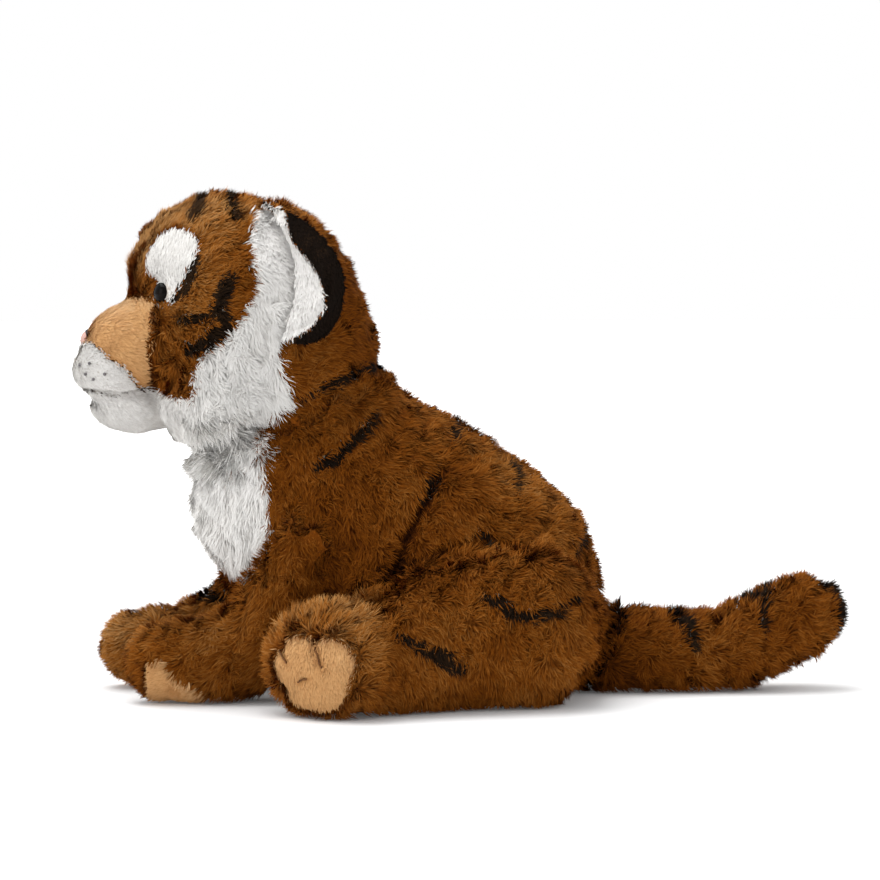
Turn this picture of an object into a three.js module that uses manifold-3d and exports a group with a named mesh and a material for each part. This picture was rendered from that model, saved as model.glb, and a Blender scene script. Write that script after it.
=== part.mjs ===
// A sitting plush tiger, about 23 cm tall: sewn covers around loose stuffing.
// Millimetres, +Z up. The tiger faces -X, and its left side is on -Y.
// Every cover, filling and trim is a solid of its own, kept a clearance apart.

import * as THREE from 'three';
import { mergeVertices } from 'three/addons/utils/BufferGeometryUtils.js';
import Module from 'manifold-3d';

const wasm = await Module();
wasm.setup();

// Cloth and clearances
const clothThickness = 2.4;
const clearance = 0.3;
const movingClearance = 0.6;
const floorCut = 0.5;
const overrun = 80;

// Body
const torsoLength = 190;
const torsoHeight = 149.5;
const torsoWidth = 130;
const bellyPanelHeight = 9;
const pelletBagLength = 78;
const pelletBagWidth = 70;
const pelletBagHeight = 30;

// Neck: a round seam whose plane leans forward, with a ball of head stuffing sunk through it
const neckDiameter = 97;
const neckLean = 25.4;
const neckBallRise = 18;
const neckBallClearance = 2.2;
const neckCordDiameter = 1.6;

// Head
const headDiameter = 105;
const headWidth = 108;
const muzzleReach = 46;
const muzzleDrop = 17;
const muzzleLength = 54;
const muzzleWidth = 58;
const muzzleHeight = 44;
const lipLength = 40;
const lipWidth = 30;
const lipHeight = 28;
const chinLength = 48;
const chinWidth = 42;
const chinHeight = 23;
const ruffLength = 66;
const ruffWidth = 46;
const ruffHeight = 46;
const noseWidth = 16;
const noseHeight = 9;
const noseDepth = 6;
const eyeDiameter = 10;
const eyeBulge = 3.6;
const eyeShankDiameter = 3.4;
const eyeTurn = 46;
const eyeRise = 7;
const washerDiameter = 12;
const washerThickness = 1.5;

// Ears
const earHeight = 67;
const earReach = 47;
const earClothThickness = 3;
const earCup = 5;

// Front legs
const frontLegLength = 93;
const frontLegHeight = 90;
const frontLegGirth = 39;
const pawSpread = 54;
const shoulderSpread = 78;
const frontLegWidth = 38;
const rightPawReach = 14;

// Hind legs
const hindLegLength = 150;
const thighHeight = 74;
const thighWidth = 66;
const thighSpread = 94;
const footHeight = 50;
const footLength = 66;
const footDepth = 42;
const footSpread = 156;
const footTurn = 53;
const solePadDiameter = 37;

// Tail
const tailLength = 129;
const tailDiameter = 38;
const tailLift = 19;

// How far each sewn joint gives, in degrees
const headNod = 8;
const frontLegRaise = 16;
const hindLegRaise = 8;
const tailSwing = 15;
const earFold = 10;
const sweepStep = 8;

// Mesh density: sides around each kind of form, all multiples of four
const torsoSides = 16;
const limbSides = 12;
const ballSides = 16;
const muzzleSides = 12;
const smallSides = 12;
const cheekSides = 8;
const cordSides = 24;

const colours = {
  brown: 0x8a4d16,
  white: 0xe6e3df,
  tan: 0xc99a66,
  black: 0x17120f,
  pink: 0xc9a39a,
  eye: 0x0b0806,
  stuffing: 0xf1efea,
  bag: 0xcfc9bd,
  washer: 0xf4f4f2,
};

const vec = (x, y, z) => new THREE.Vector3(x, y, z);
const radians = THREE.MathUtils.degToRad;
const xAxis = vec(1, 0, 0);
const yAxis = vec(0, 1, 0);
const zAxis = vec(0, 0, 1);

// Geometry to solid and back

function solidOf(geometry) {
  const bare = new THREE.BufferGeometry();
  bare.setAttribute('position', geometry.getAttribute('position').clone());
  if (geometry.index) bare.setIndex(geometry.index.clone());
  const merged = mergeVertices(bare);
  return new wasm.Manifold(new wasm.Mesh({
    numProp: 3,
    vertProperties: new Float32Array(merged.attributes.position.array),
    triVerts: new Uint32Array(merged.index.array),
  }));
}

function geometryOf(solid) {
  const mesh = solid.getMesh();
  const geometry = new THREE.BufferGeometry();
  geometry.setAttribute('position', new THREE.Float32BufferAttribute(mesh.vertProperties, 3));
  geometry.setIndex(new THREE.Uint32BufferAttribute(mesh.triVerts, 1));
  return geometry;
}

const join = (solids) => solids.reduce((all, one) => all.add(one));
const without = (solid, cutters) => cutters.reduce((left, cutter) => left.subtract(cutter), solid);

// The same closed geometry with its surface moved in by depth, or out where depth is negative
function shrunk(geometry, depth) {
  const bare = new THREE.BufferGeometry();
  bare.setAttribute('position', geometry.getAttribute('position').clone());
  bare.setIndex(geometry.index.clone());
  const merged = mergeVertices(bare);
  merged.computeVertexNormals();
  const position = merged.attributes.position;
  const normal = merged.attributes.normal;
  const point = vec(0, 0, 0);
  const out = vec(0, 0, 0);
  for (let i = 0; i < position.count; i += 1) {
    point.fromBufferAttribute(position, i);
    out.fromBufferAttribute(normal, i);
    point.addScaledVector(out, -depth);
    position.setXYZ(i, point.x, point.y, point.z);
  }
  return merged;
}

// The largest connected body of a solid, so that a cut leaves no crumbs behind
function largestBody(solid) {
  const mesh = solid.getMesh();
  const corners = mesh.triVerts;
  const points = mesh.vertProperties;
  const leader = Array.from({ length: points.length / 3 }, (_, i) => i);
  const find = (i) => {
    let at = i;
    while (leader[at] !== at) at = leader[at];
    leader[i] = at;
    return at;
  };
  for (let t = 0; t < corners.length; t += 3) {
    const first = find(corners[t]);
    leader[find(corners[t + 1])] = first;
    leader[find(corners[t + 2])] = first;
  }
  const volumes = new Map();
  for (let t = 0; t < corners.length; t += 3) {
    const [a, b, c] = [0, 1, 2].map((k) => vec(0, 0, 0).fromArray(points, 3 * corners[t + k]));
    const key = find(corners[t]);
    volumes.set(key, (volumes.get(key) ?? 0) + a.dot(b.cross(c)) / 6);
  }
  const keep = [...volumes.entries()].reduce((best, one) => (one[1] > best[1] ? one : best))[0];
  const kept = [];
  for (let t = 0; t < corners.length; t += 3) {
    if (find(corners[t]) === keep) kept.push(corners[t], corners[t + 1], corners[t + 2]);
  }
  const geometry = new THREE.BufferGeometry();
  geometry.setAttribute('position', new THREE.Float32BufferAttribute(points, 3));
  geometry.setIndex(kept);
  const used = geometry.toNonIndexed();
  return solidOf(used);
}

// Basic shapes

function ellipsoid(centre, size, sides = ballSides, turn = 0) {
  const geometry = new THREE.SphereGeometry(1, sides, Math.round(sides / 2));
  geometry.rotateX(Math.PI / 2);
  geometry.scale(size.x / 2, size.y / 2, size.z / 2);
  geometry.rotateZ(turn);
  geometry.translate(centre.x, centre.y, centre.z);
  return geometry;
}

// A closed loft through rings of points, each end drawn together to one point
function loft(startPoint, rings, endPoint) {
  const sides = rings[0].length;
  const points = [startPoint, ...rings.flat(), endPoint];
  const last = points.length - 1;
  const at = (ring, side) => 1 + ring * sides + (side % sides);
  const index = [];
  for (let s = 0; s < sides; s += 1) {
    index.push(0, at(0, s + 1), at(0, s));
    index.push(last, at(rings.length - 1, s), at(rings.length - 1, s + 1));
    for (let r = 0; r + 1 < rings.length; r += 1) {
      index.push(at(r, s), at(r, s + 1), at(r + 1, s));
      index.push(at(r, s + 1), at(r + 1, s + 1), at(r + 1, s));
    }
  }
  const geometry = new THREE.BufferGeometry();
  geometry.setAttribute('position', new THREE.Float32BufferAttribute(points.flatMap((p) => p.toArray()), 3));
  geometry.setIndex(volumeOf(points, index) > 0 ? index : index.reverse());
  return geometry;
}

function volumeOf(points, index) {
  let sum = 0;
  for (let t = 0; t < index.length; t += 3) {
    const [a, b, c] = [0, 1, 2].map((k) => points[index[t + k]]);
    sum += a.dot(b.clone().cross(c)) / 6;
  }
  return sum;
}

const ellipseRing = (centre, across, along, sides) =>
  Array.from({ length: sides }, (_, i) => {
    const angle = (2 * Math.PI * i) / sides;
    const point = centre.clone().addScaledVector(across, Math.cos(angle));
    return point.addScaledVector(along, Math.sin(angle));
  });

// A limb along a row of stations, each with its place, half width and half height
function limb(stations, startPoint, endPoint, sides) {
  const places = [startPoint, ...stations.map((one) => one.place), endPoint];
  const rings = stations.map((one, i) => {
    const tangent = places[i + 2].clone().sub(places[i]).normalize();
    const side = yAxis.clone().addScaledVector(tangent, -yAxis.dot(tangent)).normalize();
    const rise = side.clone().cross(tangent).normalize();
    return ellipseRing(
      one.place,
      side.multiplyScalar(one.halfWidth),
      rise.multiplyScalar(one.halfHeight),
      sides,
    );
  });
  return loft(startPoint, rings, endPoint);
}

// Everything above a height, as a block to intersect with
function above(height) {
  const span = torsoLength + headDiameter + tailLength + overrun;
  const block = new THREE.BoxGeometry(2 * span, 2 * span, span);
  block.translate(0, 0, height + span / 2);
  return solidOf(block);
}

// A prism whose outline is drawn in the side view, from one Y to another
function sidePrism(outline, fromY, toY) {
  const shape = new THREE.Shape(outline.map((p) => new THREE.Vector2(p.x, p.y)));
  const geometry = new THREE.ExtrudeGeometry(shape, { depth: toY - fromY, bevelEnabled: false });
  geometry.rotateX(Math.PI / 2);
  geometry.translate(0, toY, 0);
  return solidOf(geometry);
}

// A closed outline with every edge moved out by the same distance
function grown(outline, distance) {
  const turn = Math.sign(THREE.ShapeUtils.area(outline));
  return outline.map((point, i) => {
    const before = outline[(i + outline.length - 1) % outline.length];
    const after = outline[(i + 1) % outline.length];
    const edgeIn = point.clone().sub(before).normalize();
    const edgeOut = after.clone().sub(point).normalize();
    const normal = vec(edgeIn.y + edgeOut.y, -edgeIn.x - edgeOut.x, 0).multiplyScalar(turn);
    const reach = (2 * distance) / Math.max(normal.lengthSq() / 2, clearance);
    return new THREE.Vector2(point.x + (normal.x * reach) / 2, point.y + (normal.y * reach) / 2);
  });
}

// A form is a stuffed shape: its outside, the inside of its cloth, its filling, and the room that
// neighbours leave it. The cloth's inside and the filling have half the sides of the outside, and
// their corners lie on the same lines, so the cloth is nowhere thinner than it should be.
function formOf(makeGeometries, onFloor = true) {
  const layer = (depth, coarseness) => {
    const solid = join(makeGeometries(coarseness).map((one) => solidOf(shrunk(one, depth))));
    return onFloor ? solid.intersect(above(Math.max(depth, 0))) : solid;
  };
  return {
    outer: layer(0, 1),
    inner: layer(clothThickness, 2),
    core: layer(clothThickness + clearance, 2),
    padded: layer(-movingClearance, 1),
  };
}

const coverOf = (form) => form.outer.subtract(form.inner);

// One solid turned about an axis through a pivot
function turned(solid, pivot, axis, degrees) {
  const matrix = new THREE.Matrix4().makeTranslation(pivot.x, pivot.y, pivot.z);
  matrix.multiply(new THREE.Matrix4().makeRotationAxis(axis, radians(degrees)));
  matrix.multiply(new THREE.Matrix4().makeTranslation(-pivot.x, -pivot.y, -pivot.z));
  return solidOf(geometryOf(solid).applyMatrix4(matrix));
}

// All that a neighbour passes through, as seen by a piece that turns about a pivot between two angles
function swept(neighbour, pivot, axis, from, to) {
  const count = Math.ceil((to - from) / sweepStep);
  const steps = Array.from({ length: count + 1 }, (_, i) => from + ((to - from) * i) / count);
  return [...new Set([0, ...steps])].map((angle) => turned(neighbour, pivot, axis, -angle));
}

const tiger = new THREE.Group();

function addPiece(name, solid, colour, roughness = 0.95) {
  const geometry = geometryOf(largestBody(solid));
  geometry.computeVertexNormals();
  const material = new THREE.MeshStandardMaterial({ color: colours[colour], roughness, metalness: 0 });
  const mesh = new THREE.Mesh(geometry, material);
  mesh.name = name;
  tiger.add(mesh);
}

// Neck: the seam's plane, and the ball that the head turns on
const chestShare = 0.653;
const chestX = -torsoLength * chestShare;
const torsoPoint = (alongShare, upShare) =>
  vec(chestX + alongShare * torsoLength, 0, upShare * torsoHeight - floorCut);
const neckFrontShare = [0.014, 0.721];
const neckBackShare = [0.474, 1.0];
const neckCentre = torsoPoint(...neckFrontShare).add(torsoPoint(...neckBackShare)).multiplyScalar(0.5);
const neckUp = zAxis.clone().applyAxisAngle(yAxis, -radians(neckLean));
const neckBack = xAxis.clone().applyAxisAngle(yAxis, -radians(neckLean));
const neckRadius = neckDiameter / 2;
const neckBallRadius = Math.hypot(neckRadius - clothThickness - clearance, neckBallRise);
const neckPivot = neckCentre.clone().addScaledVector(neckUp, neckBallRise);

// Half space below the neck seam, lifted by some height along the seam's axis
function belowNeck(lift) {
  const span = torsoLength + torsoHeight + overrun;
  const block = new THREE.BoxGeometry(2 * span, 2 * span, span);
  block.translate(0, 0, -span / 2);
  block.rotateY(-radians(neckLean));
  const place = neckCentre.clone().addScaledVector(neckUp, lift);
  block.translate(place.x, place.y, place.z);
  return solidOf(block);
}

const neckBall = (extra) => solidOf(ellipsoid(
  neckPivot,
  vec(1, 1, 1).multiplyScalar(2 * (neckBallRadius + extra)),
));
const neckHole = neckBall(neckBallClearance);

// Torso: each row is the front point and the back point of a section, then its width
const torsoSectionShares = [
  [0.0, 0.645, 0.514, 0.927, 0.75],
  [0.0, 0.568, 0.585, 0.866, 0.75],
  [0.019, 0.477, 0.67, 0.812, 0.78],
  [0.066, 0.386, 0.757, 0.751, 0.82],
  [0.156, 0.264, 0.851, 0.66, 0.88],
  [0.274, 0.143, 0.934, 0.538, 0.95],
  [0.439, 0.042, 0.981, 0.386, 1.0],
  [0.627, 0.0, 1.0, 0.249, 0.94],
  [0.775, 0.0, 0.985, 0.14, 0.66],
];
const torsoEndShare = [0.93, 0.05];

function torsoGeometries(coarseness) {
  const sides = torsoSides / coarseness;
  const rings = torsoSectionShares.map(([frontX, frontZ, backX, backZ, width]) => {
    const front = torsoPoint(frontX, frontZ);
    const back = torsoPoint(backX, backZ);
    const middle = front.clone().add(back).multiplyScalar(0.5);
    const along = back.clone().sub(front).multiplyScalar(0.5);
    return ellipseRing(middle, along, vec(0, (width * torsoWidth) / 2, 0), sides);
  });
  const neckRing = ellipseRing(
    neckCentre,
    neckBack.clone().multiplyScalar(neckRadius),
    vec(0, neckRadius, 0),
    sides,
  );
  return [loft(neckCentre.clone(), [neckRing, ...rings], torsoPoint(...torsoEndShare))];
}

const torso = formOf(torsoGeometries);

// Where the pellet bag lies along the torso, and the chest panel's outline in the side view
const bagShare = 0.7;
const chestOutlineShares = [
  [-0.1, 0.85],
  [0.2, 0.9],
  [0.172, 0.81],
  [0.19, 0.58],
  [0.185, 0.45],
  [0.12, 0.34],
  [-0.1, 0.34],
];

function buildTorso() {
  const cover = coverOf(torso).subtract(neckHole);
  const flatPoint = ([x, z]) => new THREE.Vector2(torsoPoint(x, z).x, torsoPoint(x, z).z);
  const chestOutline = chestOutlineShares.map(flatPoint);
  const chest = sidePrism(chestOutline, -torsoWidth, torsoWidth);
  const chestRoom = sidePrism(grown(chestOutline, clearance), -torsoWidth, torsoWidth);
  const side = cover.intersect(above(bellyPanelHeight + clearance)).subtract(chestRoom);
  const halfSpan = torsoLength + overrun;
  for (const [name, sign] of [['left', -1], ['right', 1]]) {
    const half = new THREE.BoxGeometry(2 * halfSpan, halfSpan, 2 * halfSpan);
    half.translate(0, sign * (halfSpan / 2 + clearance / 2), halfSpan);
    addPiece(`body_cover_${name}`, side.intersect(solidOf(half)), 'brown');
  }
  addPiece('chest_panel', cover.intersect(chest).intersect(above(bellyPanelHeight + clearance)), 'white');
  addPiece('belly_panel', cover.subtract(above(bellyPanelHeight)).subtract(chestRoom), 'brown');

  const bagSize = vec(pelletBagLength, pelletBagWidth, 2 * pelletBagHeight);
  const bagPlace = torsoPoint(bagShare, 0).setZ(clothThickness);
  const bag = ellipsoid(bagPlace, bagSize, smallSides);
  addPiece('body_stuffing', without(torso.core, [neckHole, solidOf(shrunk(bag, -clearance))]), 'stuffing');
  addPiece('pellet_bag', solidOf(bag).intersect(torso.core), 'bag');
}

// Head: round forms joined, then their cloth cut into panels in the side view
const headCentreShare = [-0.122, 0.281];
const headCentre = neckPivot.clone().add(vec(
  headCentreShare[0] * headDiameter,
  0,
  headCentreShare[1] * headDiameter,
));
const muzzleCentre = headCentre.clone().add(vec(-muzzleReach, 0, -muzzleDrop));
const lipShare = [-0.19, 0.38, -0.27];
const chinShare = -0.64;
const ruffShare = [-0.07, 0.28, -0.41];

function headGeometries(coarseness) {
  const forms = [
    ellipsoid(headCentre, vec(headDiameter, headWidth, headDiameter), ballSides / coarseness),
    ellipsoid(muzzleCentre, vec(muzzleLength, muzzleWidth, muzzleHeight), muzzleSides / coarseness),
    ellipsoid(
      muzzleCentre.clone().add(vec(0, 0, chinShare * muzzleHeight)),
      vec(chinLength, chinWidth, chinHeight),
      cheekSides / coarseness,
    ),
  ];
  for (const sign of [-1, 1]) {
    forms.push(ellipsoid(
      muzzleCentre.clone().add(vec(
        lipShare[0] * muzzleLength,
        sign * lipShare[1] * lipWidth,
        lipShare[2] * muzzleHeight,
      )),
      vec(lipLength, lipWidth, lipHeight),
      cheekSides / coarseness,
    ));
    forms.push(ellipsoid(
      headCentre.clone().add(vec(
        ruffShare[0] * headDiameter,
        sign * ruffShare[1] * headWidth,
        ruffShare[2] * headDiameter,
      )),
      vec(ruffLength, ruffWidth, ruffHeight),
      cheekSides / coarseness,
    ));
  }
  return forms;
}

// The head's forms stay above the seam at every nod, and the ball fills what is left
function headForm() {
  const upper = formOf(headGeometries, false);
  const seamLift = neckCordDiameter + 2 * clearance;
  const layerOf = (solid, depth) => {
    const belowAtNods = swept(belowNeck(seamLift + depth), neckPivot, yAxis, -headNod, headNod);
    return without(solid, belowAtNods).add(neckBall(-depth));
  };
  return {
    outer: layerOf(upper.outer, 0),
    inner: layerOf(upper.inner, clothThickness),
    core: layerOf(upper.core, clothThickness + clearance),
    padded: layerOf(upper.padded, -movingClearance),
  };
}

const head = headForm();

// Panel outlines in the side view, as shares of the head's diameter from its centre
const muzzleTopShares = [
  [-0.51, 0.09], [-0.37, 0.045], [-0.385, -0.02], [-0.39, -0.36], [-0.43, -0.375],
  [-0.56, -0.23], [-0.665, -0.145], [-0.9, -0.13], [-0.9, 0.3], [-0.6, 0.3],
];
const lipShares = [
  [-0.43, -0.375], [-0.56, -0.23], [-0.665, -0.145], [-0.9, -0.13], [-0.9, -0.34],
  [-0.71, -0.34], [-0.61, -0.385],
];
const chinShares = [
  [-0.39, -0.36], [-0.43, -0.375], [-0.61, -0.385], [-0.71, -0.34], [-0.9, -0.34], [-0.9, -0.9],
  [-0.385, -0.9],
];
const ruffShares = [
  [-0.39, -0.385], [-0.235, -0.385], [0.01, -0.14], [0.085, 0.03], [0.065, 0.2],
  [0.03, 0.36], [0.085, 0.46], [0.18, 0.3], [0.22, 0.0], [0.245, -0.31], [0.2, -0.445],
  [0.1, -0.62], [-0.385, -0.9],
];
const browShares = [
  [-0.285, 0.345], [-0.43, 0.165], [-0.38, 0.095], [-0.325, 0.03], [-0.27, 0.12], [-0.19, 0.29],
];
const faceShares = [
  [0.085, 0.46], [0.11, 0.9], [-0.95, 0.9], [-0.95, -0.9], [0.1, -0.9], [0.2, -0.445], [0.245, -0.31],
  [0.22, 0.0], [0.18, 0.3],
];

const headOutline = (shares) => shares.map(([x, z]) => new THREE.Vector2(
  headCentre.x + x * headDiameter,
  headCentre.z + z * headDiameter,
));

// Eyes: a direction out of the head's middle, with the seat where it leaves the head
const eyeDirection = (sign) => vec(-1, 0, 0)
  .applyAxisAngle(yAxis, radians(eyeRise))
  .applyAxisAngle(zAxis, -sign * radians(eyeTurn));

function eyeSeat(sign) {
  const direction = eyeDirection(sign);
  const spread = vec(direction.x / headDiameter, direction.y / headWidth, direction.z / headDiameter);
  return headCentre.clone().addScaledVector(direction, 1 / (2 * spread.length()));
}

function alongEye(geometry, sign, distance) {
  const direction = eyeDirection(sign);
  geometry.applyQuaternion(new THREE.Quaternion().setFromUnitVectors(zAxis, direction));
  const place = eyeSeat(sign).addScaledVector(direction, distance);
  geometry.translate(place.x, place.y, place.z);
  return solidOf(geometry);
}

function rod(radius, length) {
  return new THREE.CylinderGeometry(radius, radius, length, smallSides).rotateX(Math.PI / 2);
}

// The eye's flat back stands a clearance off the cloth at its middle, and its shank ends behind the washer
const eyeBack = clearance + eyeDiameter ** 2 / (4 * headDiameter);
const washerFront = clothThickness + clearance + washerDiameter ** 2 / (4 * (headDiameter - 2 * clothThickness));
const shankEnd = washerFront + washerThickness + clearance;

function eyeSolid(sign) {
  const dome = alongEye(ellipsoid(vec(0, 0, 0), vec(eyeDiameter, eyeDiameter, 2 * eyeBulge), smallSides), sign,
    eyeBack);
  const front = alongEye(
    new THREE.BoxGeometry(2 * eyeDiameter, 2 * eyeDiameter, 2 * eyeDiameter),
    sign,
    eyeBack + eyeDiameter,
  );
  const shankLength = shankEnd + eyeBack + eyeBulge / 2;
  const shank = alongEye(rod(eyeShankDiameter / 2, shankLength), sign, eyeBack + eyeBulge / 2 - shankLength / 2);
  return dome.intersect(front).add(shank);
}

function washerSolid(sign) {
  const middle = -washerFront - washerThickness / 2;
  const disc = alongEye(rod(washerDiameter / 2, washerThickness), sign, middle);
  const bore = alongEye(rod(eyeShankDiameter / 2 + clearance, 2 * washerThickness), sign, middle);
  return disc.subtract(bore);
}

const eyeHole = (sign) => alongEye(rod(eyeShankDiameter / 2 + clearance, 2 * washerDiameter), sign, 0);
const washerRoom = (sign) => alongEye(
  rod(washerDiameter / 2 + clearance, washerThickness + 3 * clearance),
  sign,
  -washerFront - (washerThickness + clearance) / 2,
);

function buildHead() {
  const seamTop = belowNeck(0);
  const eyeHoles = [-1, 1].map(eyeHole);
  const washerRooms = [-1, 1].map(washerRoom);
  let cover = without(coverOf(head), [seamTop, ...eyeHoles, ...washerRooms]);
  const reach = headWidth + overrun;
  const wide = [-reach, reach];
  const sides = [['left', [-reach, -clearance / 2]], ['right', [clearance / 2, reach]]];

  const take = (name, shares, span, colour) => {
    const outline = headOutline(shares);
    addPiece(name, cover.intersect(sidePrism(outline, ...span)), colour);
  };
  const clear = (shares) => {
    cover = cover.subtract(sidePrism(grown(headOutline(shares), clearance), ...wide));
  };

  take('muzzle_top', muzzleTopShares, wide, 'tan');
  clear(muzzleTopShares);
  sides.forEach(([name, span]) => take(`upper_lip_${name}`, lipShares, span, 'white'));
  clear(lipShares);
  take('chin', chinShares, wide, 'white');
  clear(chinShares);
  sides.forEach(([name, span]) => take(`cheek_ruff_${name}`, ruffShares, span, 'white'));
  clear(ruffShares);
  sides.forEach(([name, span]) => take(`brow_${name}`, browShares, span, 'white'));
  clear(browShares);
  sides.forEach(([name, span]) => take(`face_${name}`, faceShares, span, 'brown'));
  clear(faceShares);
  for (const [name, span] of sides) {
    const half = sidePrism(headOutline([[-1, -1], [1, -1], [1, 1], [-1, 1]]), ...span);
    addPiece(`nape_${name}`, cover.intersect(half), 'brown');
  }

  const ballBelow = neckBall(0).intersect(belowNeck(-clearance));
  const filling = head.core.add(ballBelow);
  addPiece('head_stuffing', without(filling, [...eyeHoles, ...washerRooms]), 'stuffing');

  for (const [name, sign] of [['left', -1], ['right', 1]]) {
    addPiece(`eye_${name}`, eyeSolid(sign), 'eye', 0.1);
    addPiece(`eye_washer_${name}`, washerSolid(sign), 'washer', 0.4);
  }

  const noseShare = [-0.46, 0.06];
  const nose = ellipsoid(
    muzzleCentre.clone().add(vec(noseShare[0] * muzzleLength, 0, noseShare[1] * muzzleHeight)),
    vec(noseDepth, noseWidth, noseHeight),
    smallSides,
  );
  addPiece('nose', solidOf(nose).subtract(head.padded), 'pink', 0.7);

  const cord = new THREE.TorusGeometry(
    neckRadius - neckCordDiameter / 2,
    neckCordDiameter / 2,
    smallSides / 2,
    cordSides,
  );
  cord.rotateY(-radians(neckLean));
  const cordPlace = neckCentre.clone().addScaledVector(neckUp, neckCordDiameter / 2 + clearance);
  cord.translate(cordPlace.x, cordPlace.y, cordPlace.z);
  addPiece('neck_seam_cord', solidOf(cord), 'brown');
}

// Ears: cupped half discs, whose straight side lies inside the head until the head cuts it away
const earBaseShare = [0.134, 0.31, 0.16];
const earUpShares = [-0.153, 0.402, 0.903];
const earOutShares = [0.68, 0.73, -0.04];
const earLiningShare = 0.8;
const earSurfaceShare = 0.26;
const earRings = 2;
const earSpokes = 10;

function earFrame(sign) {
  const base = headCentre.clone().add(vec(
    earBaseShare[0] * headDiameter,
    sign * earBaseShare[1] * headWidth,
    earBaseShare[2] * headDiameter,
  ));
  const up = vec(earUpShares[0], -sign * earUpShares[1], earUpShares[2]).normalize();
  const out = vec(earOutShares[0], sign * earOutShares[1], earOutShares[2]).normalize();
  const front = up.clone().cross(out).normalize().multiplyScalar(sign);
  return { base, up, out, front, pivot: base.clone().addScaledVector(out, earSurfaceShare * earReach) };
}

function earSheet(sign, share, offset, thickness) {
  const { base, up, out, front } = earFrame(sign);
  const spot = (ring, spoke, depth) => {
    const angle = Math.PI * (spoke / earSpokes - 1 / 2);
    const r = (share * ring) / earRings;
    const cup = earCup * r * r;
    return base.clone()
      .addScaledVector(out, earReach * r * Math.cos(angle))
      .addScaledVector(up, (earHeight / 2) * r * Math.sin(angle))
      .addScaledVector(front, cup + offset + depth);
  };
  const points = [];
  const index = [];
  for (const depth of [0, thickness]) {
    points.push(spot(0, 0, depth));
    for (let ring = 1; ring <= earRings; ring += 1) {
      for (let spoke = 0; spoke <= earSpokes; spoke += 1) points.push(spot(ring, spoke, depth));
    }
  }
  const layerSize = points.length / 2;
  const row = earSpokes + 1;
  const at = (layer, ring, spoke) => layer * layerSize + (ring === 0 ? 0 : 1 + (ring - 1) * row + spoke);
  const quad = (a, b, c, d) => index.push(a, b, c, a, c, d);
  for (let spoke = 0; spoke < earSpokes; spoke += 1) {
    index.push(at(0, 0, 0), at(0, 1, spoke + 1), at(0, 1, spoke));
    index.push(at(1, 0, 0), at(1, 1, spoke), at(1, 1, spoke + 1));
    for (let ring = 1; ring < earRings; ring += 1) {
      quad(at(0, ring, spoke), at(0, ring, spoke + 1), at(0, ring + 1, spoke + 1), at(0, ring + 1, spoke));
      quad(at(1, ring, spoke), at(1, ring + 1, spoke), at(1, ring + 1, spoke + 1), at(1, ring, spoke + 1));
    }
    quad(at(0, earRings, spoke), at(0, earRings, spoke + 1), at(1, earRings, spoke + 1), at(1, earRings, spoke));
  }
  for (let ring = 0; ring < earRings; ring += 1) {
    for (const spoke of [0, earSpokes]) {
      const corners = [at(0, ring, spoke), at(1, ring, spoke), at(1, ring + 1, spoke), at(0, ring + 1, spoke)];
      quad(...(spoke === 0 ? corners.reverse() : corners));
    }
  }
  const geometry = new THREE.BufferGeometry();
  geometry.setAttribute('position', new THREE.Float32BufferAttribute(points.flatMap((p) => p.toArray()), 3));
  geometry.setIndex(volumeOf(points, index) > 0 ? index : index.reverse());
  return solidOf(geometry);
}

function buildEars() {
  for (const [name, sign] of [['left', -1], ['right', 1]]) {
    const { up, pivot } = earFrame(sign);
    const headAround = swept(head.padded, pivot, up, -earFold, earFold);
    const back = earSheet(sign, 1, -earClothThickness, earClothThickness);
    const front = earSheet(sign, earLiningShare, clearance, earClothThickness);
    addPiece(`ear_back_${name}`, without(back, headAround), 'black');
    addPiece(`ear_lining_${name}`, without(front, headAround), 'white');
  }
}

// Front legs: each row is the distance back from the paw's tip, the height of the middle, the
// half height and half width, as shares of the leg's length, height, girth and width, and then
// the share of the way out from the paw's spread to the shoulder's
const frontLegShares = [
  [0.02, 0.0, 0.22, 0.24, 0.0],
  [0.11, 0.0, 0.42, 0.42, 0.0],
  [0.32, 0.0, 0.5, 0.5, 0.0],
  [0.58, 0.06, 0.54, 0.49, 0.05],
  [0.71, 0.17, 0.6, 0.48, 0.2],
  [0.8, 0.34, 0.62, 0.48, 0.5],
  [0.88, 0.6, 0.58, 0.47, 0.85],
  [0.94, 0.85, 0.4, 0.34, 0.85],
];
const frontLegEndShares = [0.02, 0.06];
const pawTipShare = 0.135;
const pawTipX = chestX - torsoLength * pawTipShare;
const shoulderShares = [0.96, 0.9];

function frontLegGeometries(sign, coarseness) {
  const reach = sign > 0 ? rightPawReach : 0;
  const stations = frontLegShares.map(([along, up, height, width, outward]) => ({
    place: vec(
      pawTipX + along * frontLegLength - reach * Math.max(1 - along, 0),
      (sign * THREE.MathUtils.lerp(pawSpread, shoulderSpread, outward)) / 2,
      frontLegGirth / 2 + up * frontLegHeight - floorCut,
    ),
    halfHeight: height * frontLegGirth,
    halfWidth: width * frontLegWidth,
  }));
  const tip = stations[0].place.clone().add(vec(-frontLegEndShares[0] * frontLegLength, 0, 0));
  const top = stations[stations.length - 1].place.clone().add(vec(0, 0, frontLegEndShares[1] * frontLegHeight));
  return [limb(stations, tip, top, limbSides / coarseness)];
}

const frontShoulder = (sign) => vec(
  pawTipX + shoulderShares[0] * frontLegLength,
  (sign * shoulderSpread) / 2,
  shoulderShares[1] * frontLegHeight,
);

const pawPadShares = [[-0.2, 0.24], [0.12, 0.21], [0.5, 0.035], [0.78, -0.1], [-0.2, -0.1]];

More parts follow.
